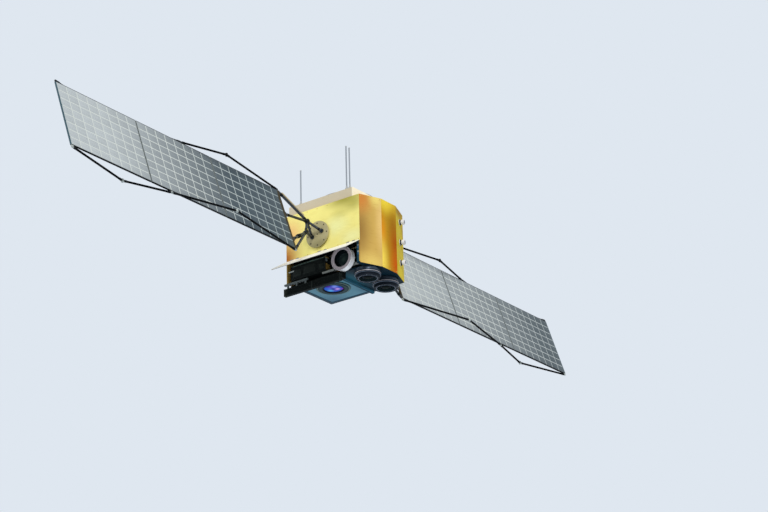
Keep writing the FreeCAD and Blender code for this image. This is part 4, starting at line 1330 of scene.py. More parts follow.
@dataclass
class ZenithDeck:
    """The cream radiator deck with its mirror tiles, the launch ring and the whips."""

    tile: float = 0.044
    tile_gap: float = 0.004
    margin: float = 0.045
    ring_clear: float = 0.53
    ring_screws: int = 48
    screw_level: float = 0.012
    screw_inset: float = 0.0215
    insert_inset: float = 0.03
    inserts: int = 12

    def build(self) -> None:
        """Makes the deck's parts."""
        dress(DECK_PAINT, "zenith_deck")
        dress(RING_ALLOY, "launch_ring")
        low, high = box_of("zenith_deck")
        pitch, half = self.tile + self.tile_gap, self.tile / 2
        middle = (low + high) / 2
        counts = [int((high[i] - low[i] - 2 * self.margin) / pitch) for i in (0, 1)]
        mesh = PATTERNS[Layout.GRID].run(
            Shape().block((-half, -half, 0), (half, half, 0.0012), 0.0006), MIRROR_TILE,
            Count=counts[0], Count_Across=counts[1], Width=(counts[0] - 1) * pitch,
            Depth=(counts[1] - 1) * pitch, Start=(-middle.x, -middle.y, 0.0), Clear=self.ring_clear,
            Place=(middle.x, middle.y, high.z)
        )
        place_piece("radiator_tiles", mesh)
        circle = box_of("launch_ring")[1].x - self.screw_inset
        level = Vector((0, 0, high.z + self.screw_level))
        screws = Fasteners("ring_screws", STEEL)
        screws.ring(screw(0.0065, 0.008), level, Z, circle, self.ring_screws).piece()
        self.edges()
        self.whips()

    def edges(self) -> None:
        """Adds the rows of inserts along the deck's upright sides."""
        low, high = box_of("zenith_deck")
        rows = Fasteners("deck_inserts", DECK_PAINT, "deck_paint")
        inset = Vector((1, 1, 1)) * self.insert_inset
        first, last = low + inset, high - inset
        for axis, out in ((0, -X), (0, X), (1, -Y), (1, Y)):
            for level in (first.z, last.z):
                start, end = Vector((first.x, first.y, level)), Vector((last.x, last.y, level))
                start[axis] = end[axis] = (low if out[axis] < 0 else high)[axis]
                rows.line(screw(0.008, 0.003), start, end, self.inserts, out)
        rows.piece()

    def whips(self) -> None:
        """Dresses the whips and adds their ferrules and tip caps."""
        foot = (
            (0.0125, 0.0), (0.037, 0.0), (0.037, 0.008), (0.0325, 0.011), (0.0315, 0.032),
            (0.018, 0.040), (0.0165, 0.080), (0.0125, 0.086)
        )
        cap = ((0.0122, 0), (0.0145, 0.002), (0.0145, 0.013), (0.008, 0.019), (0, 0.02))
        feet, caps = Shape(), Shape()
        for node in ("whip_antenna_rear", "whip_antenna_front", "whip_antenna_mid"):
            dress(WHIP_SATIN, node)
            low, high = box_of(node)
            middle = (low + high) / 2
            feet.lathe(foot, Matrix.Translation((middle.x, middle.y, low.z)), 24)
            tip = Matrix.Translation((middle.x, middle.y, high.z - 0.018))
            caps.lathe(cap, tip, 16, False)
        feet.piece("whip_feet", WHIP_FOOT, "antenna_whip")
        caps.piece("whip_caps", WHIP_FOOT, "antenna_whip")


# ---- Instrument bay ----


@dataclass
class Telescope:
    """The telescope: sleeve, liner with vanes, objective, stop, rim and screws.

    The sleeve and the wall are thicknesses, the bore is a radius, and the stop sits in the throat,
    the depth of the front ring's back.
    """

    sleeve: float = 0.0025
    wall: float = 0.0145
    bore: float = 0.154
    throat: float = 0.0204
    vane: float = 0.020
    vanes: int = 3
    screw_circle: float = 0.199
    screws: int = 20

    def build(self) -> None:
        """Dresses the telescope and makes its parts."""
        dress(TELESCOPE_ENAMEL, "telescope_ring")
        dress(TUBE_WHITE, "telescope_barrel", "telescope_neck")
        low, high = box_of("telescope_ring")
        barrel_low, barrel_high = box_of("telescope_barrel")
        axis = Vector((low.x, (low.y + high.y) / 2, (low.z + high.z) / 2))
        inward = stand(axis, X)
        outer = (barrel_high.y - barrel_low.y) / 2
        start, end = barrel_low.x - low.x, barrel_high.x - low.x
        self.barrel(inward, outer, start, end)
        self.optics(axis, inward, outer - self.wall, end)
        rim, depth = (high.y - low.y) / 2, high.x - low.x
        edge = (
            (rim - 0.0005, 0.0012), (rim + 0.0014, 0.0020), (rim + 0.0014, depth - 0.0005),
            (rim - 0.0005, depth - 0.0005)
        )
        Shape().lathe(edge, inward, 96).piece("telescope_rim", TUBE_WHITE, "telescope_grey")
        screws = Fasteners("telescope_screws", STEEL)
        screws.ring(screw(), axis, -X, self.screw_circle, self.screws).piece()

    def barrel(self, inward: Matrix, outer: float, start: float, end: float) -> None:
        """Adds the sleeve round the barrel, and the liner with its vanes.

        Args:
            inward: Frame on the axis at the front, its Z into the body.
            outer: Radius of the barrel.
            start: Depth of its front end.
            end: Depth of its back end.
        """
        lip = self.sleeve
        sleeve = (
            (outer + 0.0002, start + 0.001), (outer + 2 * lip, start + 0.001),
            (outer + 2 * lip, start + 0.010), (outer + lip, start + 0.013),
            (outer + lip, end - 0.012), (outer + 2 * lip, end - 0.009), (outer + 2 * lip, end),
            (outer + 0.0002, end)
        )
        Shape().lathe(sleeve, inward, 96).piece("telescope_sleeve", TUBE_WHITE, "telescope_grey")
        inside = outer - self.wall
        liner = [(inside, start + 0.001), (inside, end)]
        gap = (end - start) / (self.vanes + 1)
        for number in range(self.vanes, 0, -1):
            depth = start + gap * number
            liner += [
                (inside - 0.002, depth + 0.004), (inside - self.vane, depth),
                (inside - 0.002, depth - 0.001)
            ]
        liner.append((inside - 0.002, start + 0.001))
        Shape().lathe(liner, inward, 72).piece("telescope_liner", BORE_BLACK, "telescope_grey")

    def optics(self, axis: Vector, inward: Matrix, inside: float, end: float) -> None:
        """Adds the objective in its cell, and the stop behind the front ring.

        Args:
            axis: Middle of the front.
            inward: Frame there, its Z into the body.
            inside: Radius inside the barrel.
            end: Depth of the barrel's back end.
        """
        bore = self.bore
        lens = dome(bore * 0.86, end - 0.004, -0.030, (0, 0.25, 0.5, 0.75, 1.0, 1.25))
        glass = replace(OBJECTIVE_COATING, centre=tuple(axis))
        objective = Shape().lathe([*lens, (0.0, end - 0.002)], inward, 72, False)
        objective.piece("telescope_objective", glass, "lens_glass")
        cell = (
            (bore * 0.84, end - 0.001), (bore * 0.84, end - 0.014), (bore * 0.90, end - 0.020),
            (inside - 0.006, end - 0.018), (inside - 0.003, end - 0.001)
        )
        Shape().lathe(cell, inward, 72).piece("telescope_cell", BORE_BLACK, "lens_black")
        stop = (
            (bore - 0.0002, 0.0105), (bore - 0.0030, 0.0110), (bore - 0.0030, self.throat),
            (inside - 0.001, self.throat), (inside - 0.001, self.throat + 0.001),
            (bore - 0.0002, self.throat + 0.001)
        )
        Shape().lathe(stop, inward, 96).piece("telescope_stop", BORE_BLACK, "lens_black")


@dataclass
class Imager:
    """The imager box: lid on its chamfer, plates, screws, calibration head and stubs."""

    chamfer: float = 0.05
    lid_inset: float = 0.006
    screws: int = 14

    def build(self) -> None:
        """Makes the parts on the imager box."""
        low, high = box_of("imager_box")
        face, length = low.x, high.y - low.y
        self.lid()
        rows = Fasteners("imager_screws", BLACK_STEEL, "black_box")
        for level in (low.z + 0.014, high.z - self.chamfer - 0.014):
            start = Vector((face, low.y + 0.02, level))
            rows.line(screw(0.004, 0.003), start, start + Y * (length - 0.04), self.screws, -X)
        rows.piece()
        plates = Shape()
        for share, wide, tall in ((0.12, 0.11, 0.10), (0.46, 0.26, 0.15), (0.82, 0.18, 0.12)):
            y, z = low.y + share * length - wide / 2, low.z + 0.06
            plates.block((face - 0.004, y, z), (face + 0.001, y + wide, z + tall), 0.002)
        plates.piece("imager_plates", BOX_LID, "black_box")
        self.calibration()
        near = (face + 0.012, low.y - 0.002, low.z + 0.04)
        far = (face + 0.130, low.y + 0.001, low.z + 0.15)
        Shape().block(near, far, 0.0008).piece("imager_strap", STRAP_AMBER, "black_box")
        end = Vector((face + 0.003, high.y - 0.070, high.z - 0.127))
        stub = Shape().pipe((end, end + Y * 0.122), 0.012, 16)
        stub.piece("imager_stub", FITTING_PALE)
        end = Vector((face + 0.015, low.y + 0.069, low.z - 0.019))
        conduit = Shape().pipe((end, end - Y * 0.255), 0.020, 24)
        conduit.piece("imager_conduit", CONDUIT_GREY)

    def lid(self) -> None:
        """Adds the lid on the chamfer."""
        low, high = box_of("imager_box")
        half = math.sqrt(0.5)
        corner = Vector((low.x, low.y, high.z - self.chamfer))
        slanted = Matrix(((half, 0, -half, 0), (0, 1, 0, 0), (half, 0, half, 0), (0, 0, 0, 1)))
        slope = math.hypot(self.chamfer, self.chamfer)
        inset = self.lid_inset
        far = (slope - inset, high.y - low.y - 2 * inset, 0.004)
        at = Matrix.Translation(corner) @ slanted
        lid = Shape().block((inset, 2 * inset, 0.0), far, 0.0015, at)
        lid.piece("imager_lid", LID_GREEN, "black_box")

    def calibration(self) -> None:
        """Adds the calibration head, its target and its bracket, which look along -X."""
        low, high = box_of("imager_box")
        near = low.x + 0.006
        head = (
            (0.0, 0.040), (0.036, 0.040), (0.036, 0.008), (0.032, 0.0), (0.021, 0.0),
            (0.018, 0.012), (0.0, 0.016)
        )
        target = ((0.0, 0.0155), (0.014, 0.0145), (0.014, 0.0118), (0.0, 0.0118))
        far = (low.x + 0.09, low.y + 0.030, high.z - 0.036)
        bracket = Shape().block((near, low.y - 0.016, high.z - 0.052), far, 0.002)
        at = stand(Vector((near, low.y + 0.016, high.z - 0.080)), X)
        shapes = {
            "calibration_head": (Shape().lathe(head, at, 40), RAIL_GREY),
            "calibration_target": (Shape().lathe(target, at, 32, False), SENSOR_WHITE),
            "calibration_bracket": (bracket, STRAP_AMBER)
        }
        for name, (shape, finish) in shapes.items():
            shape.piece(name, finish)


@dataclass
class InstrumentBay:
    """The open bay: telescope, imager, recorders with cooling fins, conduit and harness."""

    fin: float = 0.004
    fin_height: float = 0.006
    fins: int = 9
    strand: float = 0.006

    def build(self) -> None:
        """Makes the bay's parts."""
        dress(BAY_FILM, "bay_roof", "bay_back")
        dress(JAMB_ENAMEL, "bay_jamb")
        dress(BOX_BLACK, "imager_box", "recorder_near_box", "recorder_far_box", "recorder_beam")
        dress(CONDUIT_GREY, "bay_conduit")
        dress(RAIL_GREY, "recorder_rail")
        dress(BRACKET_ALLOY, "equipment_block")
        Telescope().build()
        Imager().build()
        self.recorders()
        self.harness()
        self.clamps()
        self.jamb()

    def recorders(self) -> None:
        """Adds the recorders' fins, end caps and screws."""
        fins = Fasteners("recorder_fins", BOX_BLACK, "black_box")
        caps = Shape()
        for node in ("recorder_near_box", "recorder_far_box"):
            low, high = box_of(node)
            half = (high.y - low.y) / 2 - 0.02
            wide = self.fin / 2
            fin = Shape().block((-half, -wide, 0), (half, wide, self.fin_height), 0.001)
            middle = Vector((low.x, (low.y + high.y) / 2, low.z + 0.015))
            fins.line(fin, middle, middle + Z * (high.z - low.z - 0.03), self.fins, -X)
            for start, end in ((high.y - 0.010, high.y + 0.002), (low.y - 0.002, low.y + 0.010)):
                corner = (high.x + 0.003, end, high.z + 0.003)
                caps.block((low.x - 0.004, start, low.z - 0.003), corner, 0.003)
        fins.piece()
        caps.piece("recorder_caps", BOX_LID, "black_box")
        low, high = box_of("recorder_rail")
        middle = Vector((low.x, low.y + 0.03, (low.z + high.z) / 2))
        end = middle + Y * (high.y - low.y - 0.06)
        Fasteners("rail_screws", STEEL).line(screw(), middle, end, 8, -X).piece()

    def harness(self) -> None:
        """Adds the bundle from the imager over the telescope."""
        low, high = box_of("imager_box")
        roof, near = box_of("bay_roof")[0].z, box_of("telescope_ring")[1].y
        x = low.x + 0.10
        route = [
            Vector((x + 0.10, low.y + 0.20, high.z - 0.005)),
            Vector((x + 0.10, low.y + 0.18, roof - 0.020)),
            Vector((x + 0.08, near + 0.03, roof - 0.022)),
            Vector((x + 0.06, near - 0.06, roof - 0.018)),
            Vector((x + 0.06, near - 0.44, roof - 0.018))
        ]
        bundle = Shape()
        for number in range(3):
            shift = Vector((0.015, 0.004, -0.002)) * number
            bundle.pipe([p + shift for p in route], self.strand, 10)
        bundle.piece("bay_harness", HARNESS_TAPE, "equipment")

    def clamps(self) -> None:
        """Adds the clamps round the conduit."""
        low, high = box_of("bay_conduit")
        radius, middle = (high.x - low.x) / 2, (low + high) / 2
        clamps = Shape()
        for share in (0.08, 0.36, 0.64, 0.92):
            at = stand(Vector((middle.x, low.y + share * (high.y - low.y), middle.z)), Y)
            clamps.band((radius + 0.0002, radius + 0.004), (-0.012, 0.012), 0.001, at, 32)
        clamps.piece("conduit_clamps", BRACKET_ALLOY)

    def jamb(self) -> None:
        """Adds the flat plates and connectors let into the jamb's edge."""
        low, high = box_of("bay_jamb")
        plates, connectors = Shape(), Shape()
        middle = (low.y + high.y) / 2 - 0.004
        for shape, share, tall in (
            (connectors, 0.30, 0.050), (plates, 0.52, 0.030), (connectors, 0.62, 0.045),
            (plates, 0.22, 0.020)
        ):
            z = high.z - share * (high.z - low.z)
            corner = (low.x + 0.002, middle + 0.010, z + tall / 2)
            shape.block((low.x - 0.0012, middle - 0.010, z - tall / 2), corner, 0.0006)
        plates.piece("jamb_plates", FITTING_PALE, "sensor_white")
        connectors.piece("jamb_connectors", CONNECTOR_BLUE)


@dataclass
class BayCover:
    """The white cover on its hinges, with the frame that stiffens its inner side.

    The open angle is counted from hanging, and the frame starts at its top below the hinge.
    """

    open_angle: float = math.radians(58)
    frame_width: float = 0.035
    frame_height: float = 0.005
    frame_top: float = 0.030
    thickness: float = 0.012
    rivets: int = 22

    def build(self) -> None:
        """Makes the cover's parts."""
        dress(COVER_PAINT, "bay_cover")
        dress(BRACKET_ALLOY, "cover_hinges")
        hinge = joint_place("bay_cover_hinge")
        low, high = box_of("bay_cover")
        at = Matrix.Translation((hinge.x, 0, hinge.z)) @ Matrix.Rotation(self.open_angle, 4, "Y")
        length = (hinge.x - low.x) / math.sin(self.open_angle) - 0.004
        near, far = low.y + 0.004, high.y - 0.004
        inner, wide, top = self.thickness / 2, self.frame_width, self.frame_top
        bounds = [(near, far, top, top + wide), (near, far, length - wide, length)]
        for share in (0.0, 0.25, 0.5, 0.75, 1.0):
            y = near + share * (far - near - wide)
            bounds.append((y, y + wide, top + wide, length - wide))
        strips = Shape()
        for start, end, above, below in bounds:
            corner = (inner + self.frame_height, end, -above)
            strips.block((inner - 0.0005, start, -below), corner, 0.0012, at)
        strips.piece("cover_frame", OPTIC_BLACK, "cover_white", "bay_cover")
        rivets = Fasteners("cover_rivets", COVER_PAINT, "cover_white", "bay_cover")
        out = at.to_3x3() @ -X
        for depth in (0.045, length - wide / 2):
            start = at @ Vector((-inner, near + 0.02, -depth))
            rivets.line(stud(0.005), start, start + Y * (far - near - 0.04), self.rivets, out)
        rivets.piece()


# ---- Nadir instruments ----


def hanging(node: str) -> tuple[Vector, float, float]:
    """Measures a turned node under the nadir deck.

    Args:
        node: The node.

    Returns:
        The middle of its root, its radius and its height.
    """
    low, high = box_of(node)
    middle = (low + high) / 2
    return Vector((middle.x, middle.y, high.z)), (high.x - low.x) / 2, high.z - low.z


@dataclass
class LensPlate:
    """The lens plate with its dark edging, which also stands in for the shade on the two sides that
    face away from the key light, and the rib's cap.
    """

    edging: float = 0.062
    proud: float = 0.003
    inset: float = 0.018
    corner: float = 0.10

    def build(self) -> None:
        """Makes the plate's parts."""
        low, high = box_of("lens_plate")
        inset, corner, below = self.inset, self.corner, low.z - self.proud
        screws = Fasteners("lens_plate_screws", STEEL)
        for y, level in ((low.y + inset, low.z), (high.y - inset, below)):
            start, end = Vector((low.x + inset, y, level)), Vector((high.x - inset, y, level))
            screws.line(screw(), start, end, 12, -Z)
        for x, level in ((low.x + inset, low.z), (high.x - inset, below)):
            start, end = Vector((x, low.y + corner, level)), Vector((x, high.y - corner, level))
            screws.line(screw(), start, end, 8, -Z)
        screws.piece()
        # Dark edging along the +X and +Y edges: partly a real edging, partly painted shade on the
        # plate's sides there.
        wide, thin = self.edging, 0.0006
        edging, top = Shape(), low.z + 0.001
        edging.block((low.x, high.y - wide, below), (high.x, high.y - thin, top), 0.0012)
        edging.block((high.x - wide, low.y, below), (high.x - thin, high.y - wide, top), 0.0012)
        edging.piece("plate_edging", JAMB_ENAMEL, "teal_structure")
        low, high = box_of("nadir_rib")
        near = (low.x + 0.01, low.y + 0.014, low.z - 0.004)
        far = (high.x - 0.01, high.y - 0.014, low.z + 0.002)
        Shape().block(near, far, 0.0015).piece("rib_cap", DECK_ENAMEL, "teal_structure")


@dataclass
class MainLens:
    """The main lens: glass, retaining rings, grip ridges and screws."""

    ridges: int = 120
    screws: int = 16

    def build(self) -> None:
        """Makes the lens's parts."""
        centre, outer, depth = hanging("lens_flange")
        low, high = box_of("lens_glass")
        radius = (high.x - low.x) / 2
        down = stand(centre, -Z)
        dress(replace(FLANGE_ANODISED, centre=tuple(centre)), "lens_flange")
        face = dome(radius, depth * 0.28, depth * 0.62, (0, 0.2, 0.4, 0.6, 0.8, 1.0, 1.2, 1.4))
        lens = Shape().lathe([*face, (radius, 0.0), (0.0, 0.0)], down, 96, False)
        # Painted reflections and highlights on the glass, set round its centre.
        painted_reflections = (
            Glow((centre.x + x, centre.y + y, centre.z), (wide, deep, 1), code, share)
            for x, y, wide, deep, code, share in LENS_PAINTED_REFLECTIONS
        )
        glass = replace(LENS_COATING, centre=tuple(centre), radius=radius, painted_light_and_shade=tuple(painted_reflections))
        piece = lens.piece("main_lens", glass, "lens_glass")
        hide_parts("lens_glass")
        retainer = (
            (radius * 0.985, depth * 0.30), (radius + 0.004, depth * 0.86),
            (radius + 0.008, depth + 0.003), (radius + 0.016, depth + 0.003),
            (radius + 0.022, depth * 0.96), (radius + 0.022, depth * 0.5)
        )
        Shape().lathe(retainer, down, 96).piece("lens_retainer", OPTIC_BLACK, "lens_black")
        ring = (
            (outer - 0.036, depth * 0.48), (outer - 0.036, depth * 0.62),
            (outer - 0.032, depth * 0.66), (outer - 0.010, depth * 0.66),
            (outer - 0.006, depth * 0.60), (outer - 0.006, depth * 0.48)
        )
        Shape().lathe(ring, down, 96).piece("lens_outer_ring", RING_GREEN, "teal_structure")
        grip = Fasteners("lens_grip", OPTIC_BLACK, "lens_black")
        ridge = Shape().block((-0.003, -0.0032, 0), (0.004, 0.0032, depth * 0.42), 0.001)
        grip.ring(ridge, centre - Z * depth * 0.54, -Z, outer - 0.040, self.ridges).piece()
        screws = Fasteners("lens_screws", STEEL)
        level = centre - Z * depth * 0.66
        screws.ring(screw(0.0055, 0.004), level, -Z, outer - 0.021, self.screws).piece()


@dataclass
class Camera:
    """One wide-field camera: rings, hood liner, glass, grip ridges and screws.

    The hood's outer radius lies in from the barrel's, the funnel's mouth in from the hood's, and
    the funnel narrows to the throat by its taper.
    """

    side: str
    hood: float = 0.026
    funnel: float = 0.036
    taper: float = 0.034
    depth: float = 0.040
    ridges: int = 90
    screws: int = 12

    def build(self) -> None:
        """Makes the camera's outer parts, then its funnel."""
        side, node = self.side, f"camera_{self.side}"
        centre, outer, tall = hanging(node)
        down = stand(centre, -Z)
        dress(OPTIC_BLACK, node)
        across, along = (outer - 0.001, outer + 0.003), (tall * 0.480, tall * 0.584)
        band = Shape().band(across, along, tall * 0.014, down)
        band.piece(f"camera_band_{side}", RING_GREY)
        neck, sleeve = outer - 0.0165, outer - 0.003
        collar = (
            (neck, tall * 0.03), (sleeve - 0.006, tall * 0.03), (sleeve, tall * 0.08),
            (sleeve, tall * 0.43), (sleeve - 0.004, tall * 0.455), (neck, tall * 0.455)
        )
        Shape().lathe(collar, down, 96).piece(f"camera_collar_{side}", COLLAR_BLUED)
        step = (
            (outer - 0.001, tall * 0.655), (outer + 0.001, tall * 0.665),
            (outer - 0.004, tall * 0.695), (outer - 0.006, tall * 0.69)
        )
        hood = outer - self.hood
        mouth = (
            (hood - 0.0335, tall + 0.0005), (hood - 0.037, tall + 0.0022),
            (hood - 0.041, tall + 0.0005), (hood - 0.041, tall - 0.004),
            (hood - 0.0335, tall - 0.004)
        )
        edges = Shape().lathe(step, down, 96).lathe(mouth, down, 96)
        edges.piece(f"camera_edges_{side}", EDGE_BLUED)
        self.optics(centre, hood - self.funnel - self.taper, tall)
        grip = Fasteners(f"camera_grip_{side}", OPTIC_BLACK, "lens_black")
        ridge = Shape().block((-0.002, -0.0036, 0), (0.0025, 0.0036, tall * 0.20), 0.001)
        grip.ring(ridge, centre - Z * tall * 0.43, -Z, outer, self.ridges).piece()
        screws = Fasteners(f"camera_screws_{side}", STEEL)
        screws.ring(screw(), centre - Z * tall, -Z, hood - 0.017, self.screws).piece()

    def optics(self, centre: Vector, throat: float, tall: float) -> None:
        """Adds the funnel's liner and the glass at its bottom.

        Args:
            centre: Middle of the camera's root.
            throat: Radius of the throat.
            tall: Height of the camera.
        """
        down, floor, rim = stand(centre, -Z), tall - self.depth, throat - 0.014
        liner = (
            (throat + 0.0325, tall - 0.002), (throat - 0.0015, floor), (rim, floor),
            (rim, floor + 0.006), (throat - 0.0035, floor + 0.006), (throat + 0.0305, tall - 0.003)
        )
        Shape().lathe(liner, down, 96).piece(f"camera_liner_{self.side}", BORE_BLACK, "lens_black")
        name, middle = f"camera_lens_coating_{self.side}", tuple(centre)
        glass = replace(CAMERA_COATING, name=name, centre=middle, radius=rim)
        face = dome(rim, floor - 0.006, 0.034, (0, 0.25, 0.5, 0.75, 1.0, 1.25))
        lens = Shape().lathe([*face, (0.0, floor - 0.008)], down, 72, False)
        lens.piece(f"camera_glass_{self.side}", glass, "lens_glass")


def nadir_instruments() -> None:
    """Builds everything on the nadir side."""
    dress(DECK_ENAMEL, "nadir_deck")
    dress(PLATE_ENAMEL, "lens_plate")
    dress(RIB_ENAMEL, "nadir_rib")
    LensPlate().build()
    MainLens().build()
    for side, _ in SIDES:
        Camera(side).build()


@dataclass
class SunSensors:
    """The three sensors on the last facet, each with a dark socket and a window; the socket's black
    also paints the shade round the sensor's foot.
    """

    foot: float = 0.058
    foot_height: float = 0.0122
    length: float = 0.092

    def build(self) -> None:
        """Makes the sensors' parts."""
        low, high = box_of("facet_right")
        out = Vector((high.y - PANEL_WALL - low.y, low.x - high.x, 0)).normalized()
        step, face = self.foot_height, self.length
        socket = (
            (0.0345, step), (0.0560, step), (0.0540, 0.0150), (0.0400, 0.0165), (0.0380, 0.0300),
            (0.0345, 0.0300)
        )
        window = (
            (0.0, face + 0.0002), (0.030, face + 0.0002), (0.030, face + 0.0030),
            (0.026, face + 0.0048), (0.0, face + 0.0056)
        )
        sockets, windows, screws = Shape(), Shape(), Fasteners("sensor_screws", STEEL)
        for node in (f"sun_sensor_{number}" for number in (1, 2, 3)):
            dress(SENSOR_WHITE, node)
            low, high = box_of(node)
            x, y = low.x - self.foot * out.y, high.y - self.foot * out.x
            place = Vector((x, y, (low.z + high.z) / 2))
            sockets.lathe(socket, stand(place, out), 48)
            windows.lathe(window, stand(place, out), 40)
            screws.ring(screw(0.004, 0.003), place + out * step, out, 0.050, 6)
        # The sockets' optical black is partly painted shade round each sensor's foot.
        sockets.piece("sensor_sockets", BORE_BLACK, "lens_black")
        windows.piece("sensor_windows", SENSOR_GLASS, "lens_glass")
        screws.piece()


# ---- Arrays ----


@dataclass
class Drive:
    """One array drive: fixed housing, turning flange with its bolts, and the hub cap.

    The yoke's feet stand on the flange, off the axis along the wing's normal.
    """

    wing: Wing
    bolt_circle: float = 0.203
    bolts: int = 8
    foot_offset: float = 0.108
    foot_height: float = 0.016
    foot_circle: float = 0.0305

    def build(self) -> None:
        """Makes the drive's parts."""
        side, out = self.wing.side, X * self.wing.sign
        dress(RING_ALLOY, f"drive_housing_{side}")
        dress(FLANGE_CHROMATE, f"drive_flange_{side}")
        axis = joint_place(f"array_drive_{side}")
        low, high = box_of(f"drive_flange_{side}")
        centre = Vector((high.x if self.wing.sign > 0 else low.x, axis.y, axis.z))
        bolts = Fasteners(f"drive_bolts_{side}", BLACK_STEEL, body=self.wing.body)
        bolts.ring(screw(0.0128, 0.006), centre - out * 0.004, out, self.bolt_circle, self.bolts)
        for sign in (-1, 1):
            foot = centre + self.wing.normal * (sign * self.foot_offset) + out * self.foot_height
            bolts.ring(screw(0.004, 0.005), foot, out, self.foot_circle, 6)
        bolts.piece()
        cap = (
            (0.013, 0.0), (0.052, 0.0), (0.052, 0.003), (0.048, 0.006), (0.024, 0.006),
            (0.020, 0.004), (0.016, 0.004), (0.013, 0.002)
        )
        plug = ((0.0, 0.0002), (0.0129, 0.0002), (0.0129, 0.001), (0.0, 0.001))
        at = stand(centre, out)
        self.wing.piece(Shape().lathe(cap, at, 48), "drive_cap", FLANGE_CHROMATE, "drive_khaki")
        self.wing.piece(Shape().lathe(plug, at, 24), "drive_plug", BORE_BLACK, "lens_black")
        low, high = box_of(f"drive_housing_{side}")
        radius = (high.y - low.y) / 2
        collar = (
            (radius - 0.001, 0.0015), (radius + 0.028, 0.0015), (radius + 0.028, 0.006),
            (radius + 0.003, 0.007), (radius, 0.010)
        )
        at = stand(Vector((low.x if self.wing.sign > 0 else high.x, axis.y, axis.z)), out)
        Shape().lathe(collar, at, 64).piece(f"drive_collar_{side}", RING_ALLOY)
        level = at @ Vector((0, 0, 0.0065))
        screws = Fasteners(f"drive_screws_{side}", STEEL)
        screws.ring(screw(0.0045, 0.0035), level, out, radius + 0.016, 12).piece()


@dataclass
class Yoke:
    """One yoke: bonded collars on its tubes, and the taped harness that runs along it.

    A knuckle's place is along the span and across the wing, a foot's along the span and out of
    the wing's plane. The legs end at the root, and the hub is a knuckle's radius and half length.
    """

    wing: Wing
    upper: Pair = (0.865, 0.205)
    lower: Pair = (1.015, -0.085)
    upper_legs: Pair = (0.120, 0.5925)
    lower_legs: Pair = (-0.400, -0.5925)
    root: float = 1.479
    foot: Pair = (0.691, 0.108)
    tube: float = 0.023
    hub: float = 0.036

    def collar(
        self, shape: Shape, start: Vector, end: Vector, distance: float, length: float = 0.05
    ) -> None:
        """Adds a bonded collar on a tube.

        Args:
            shape: The shape it goes to.
            start: Where the tube starts.
            end: Where it ends.
            distance: From the tube's start to the collar.
            length: The collar's length.
        """
        along = (end - start).normalized()
        at = stand(start + along * distance, along)
        shape.band((self.tube - 0.001, self.tube + 0.0035), (0.0, length), 0.0015, at, 24)

    def build(self) -> None:
        """Makes the yoke's parts."""
        wing = self.wing
        dress(TUBE_CARBON, f"yoke_{wing.side}")
        cap = ((0, 0), (0.029, 0), (0.029, 0.003), (0.026, 0.005), (0.010, 0.005), (0, 0.002))
        collars, caps = Shape(), Shape()
        upper, lower = wing.at(*self.upper, 0), wing.at(*self.lower, 0)
        back, front = (wing.at(self.foot[0], 0, sign * self.foot[1]) for sign in (-1, 1))
        for knuckle, roots in ((upper, self.upper_legs), (lower, self.lower_legs)):
            for s in roots:
                root = wing.at(self.root, s, 0)
                self.collar(collars, knuckle, root, 0.045)
                self.collar(collars, root, knuckle, 0.032)
            for end in (-1, 1):
                place = knuckle + wing.normal * (end * (self.hub - 0.0005))
                caps.lathe(cap, stand(place, wing.normal * end), 28)
        for first, last in ((upper, lower), (lower, upper)):
            self.collar(collars, first, last, 0.040)
        for foot, knuckle in ((back, upper), (front, upper), (back, lower)):
            self.collar(collars, foot, knuckle, 0.028, 0.035)
        root = wing.at(self.root, self.lower_legs[0], 0)
        at = stand(lower.lerp(root, 0.58), (root - lower).normalized())
        box = Shape().block((-0.032, -0.032, -0.050), (0.032, 0.032, 0.050), 0.003, at)
        wing.piece(box, "yoke_connector", BOX_BLACK)
        wing.piece(collars, "yoke_collars", EDGE_BLACK)
        wing.piece(caps, "yoke_caps", BLACK_STEEL)
        self.harness()

    def harness(self) -> None:
        """Adds the taped power harness along the upper outer leg."""
        wing = self.wing
        upper, root = wing.at(*self.upper, 0), wing.at(self.root, self.upper_legs[1], 0)
        along = root - upper
        # The harness lies on the tube's upper side; its pale tape also stands in for sunlight on
        # the top of the dark tube, as painted light.
        off = wing.across + wing.normal - X * wing.sign
        off -= along.normalized() * off.dot(along.normalized())
        off = off.normalized() * (self.tube + 0.010)
        start, end = upper + along * 0.14, upper + along * 0.95
        route = (
            start + off * 0.5, start + along * 0.03 + off, end - along * 0.03 + off, end + off * 0.5
        )
        wing.piece(Shape().pipe(route, 0.015, 12), "yoke_harness", HARNESS_TAPE)


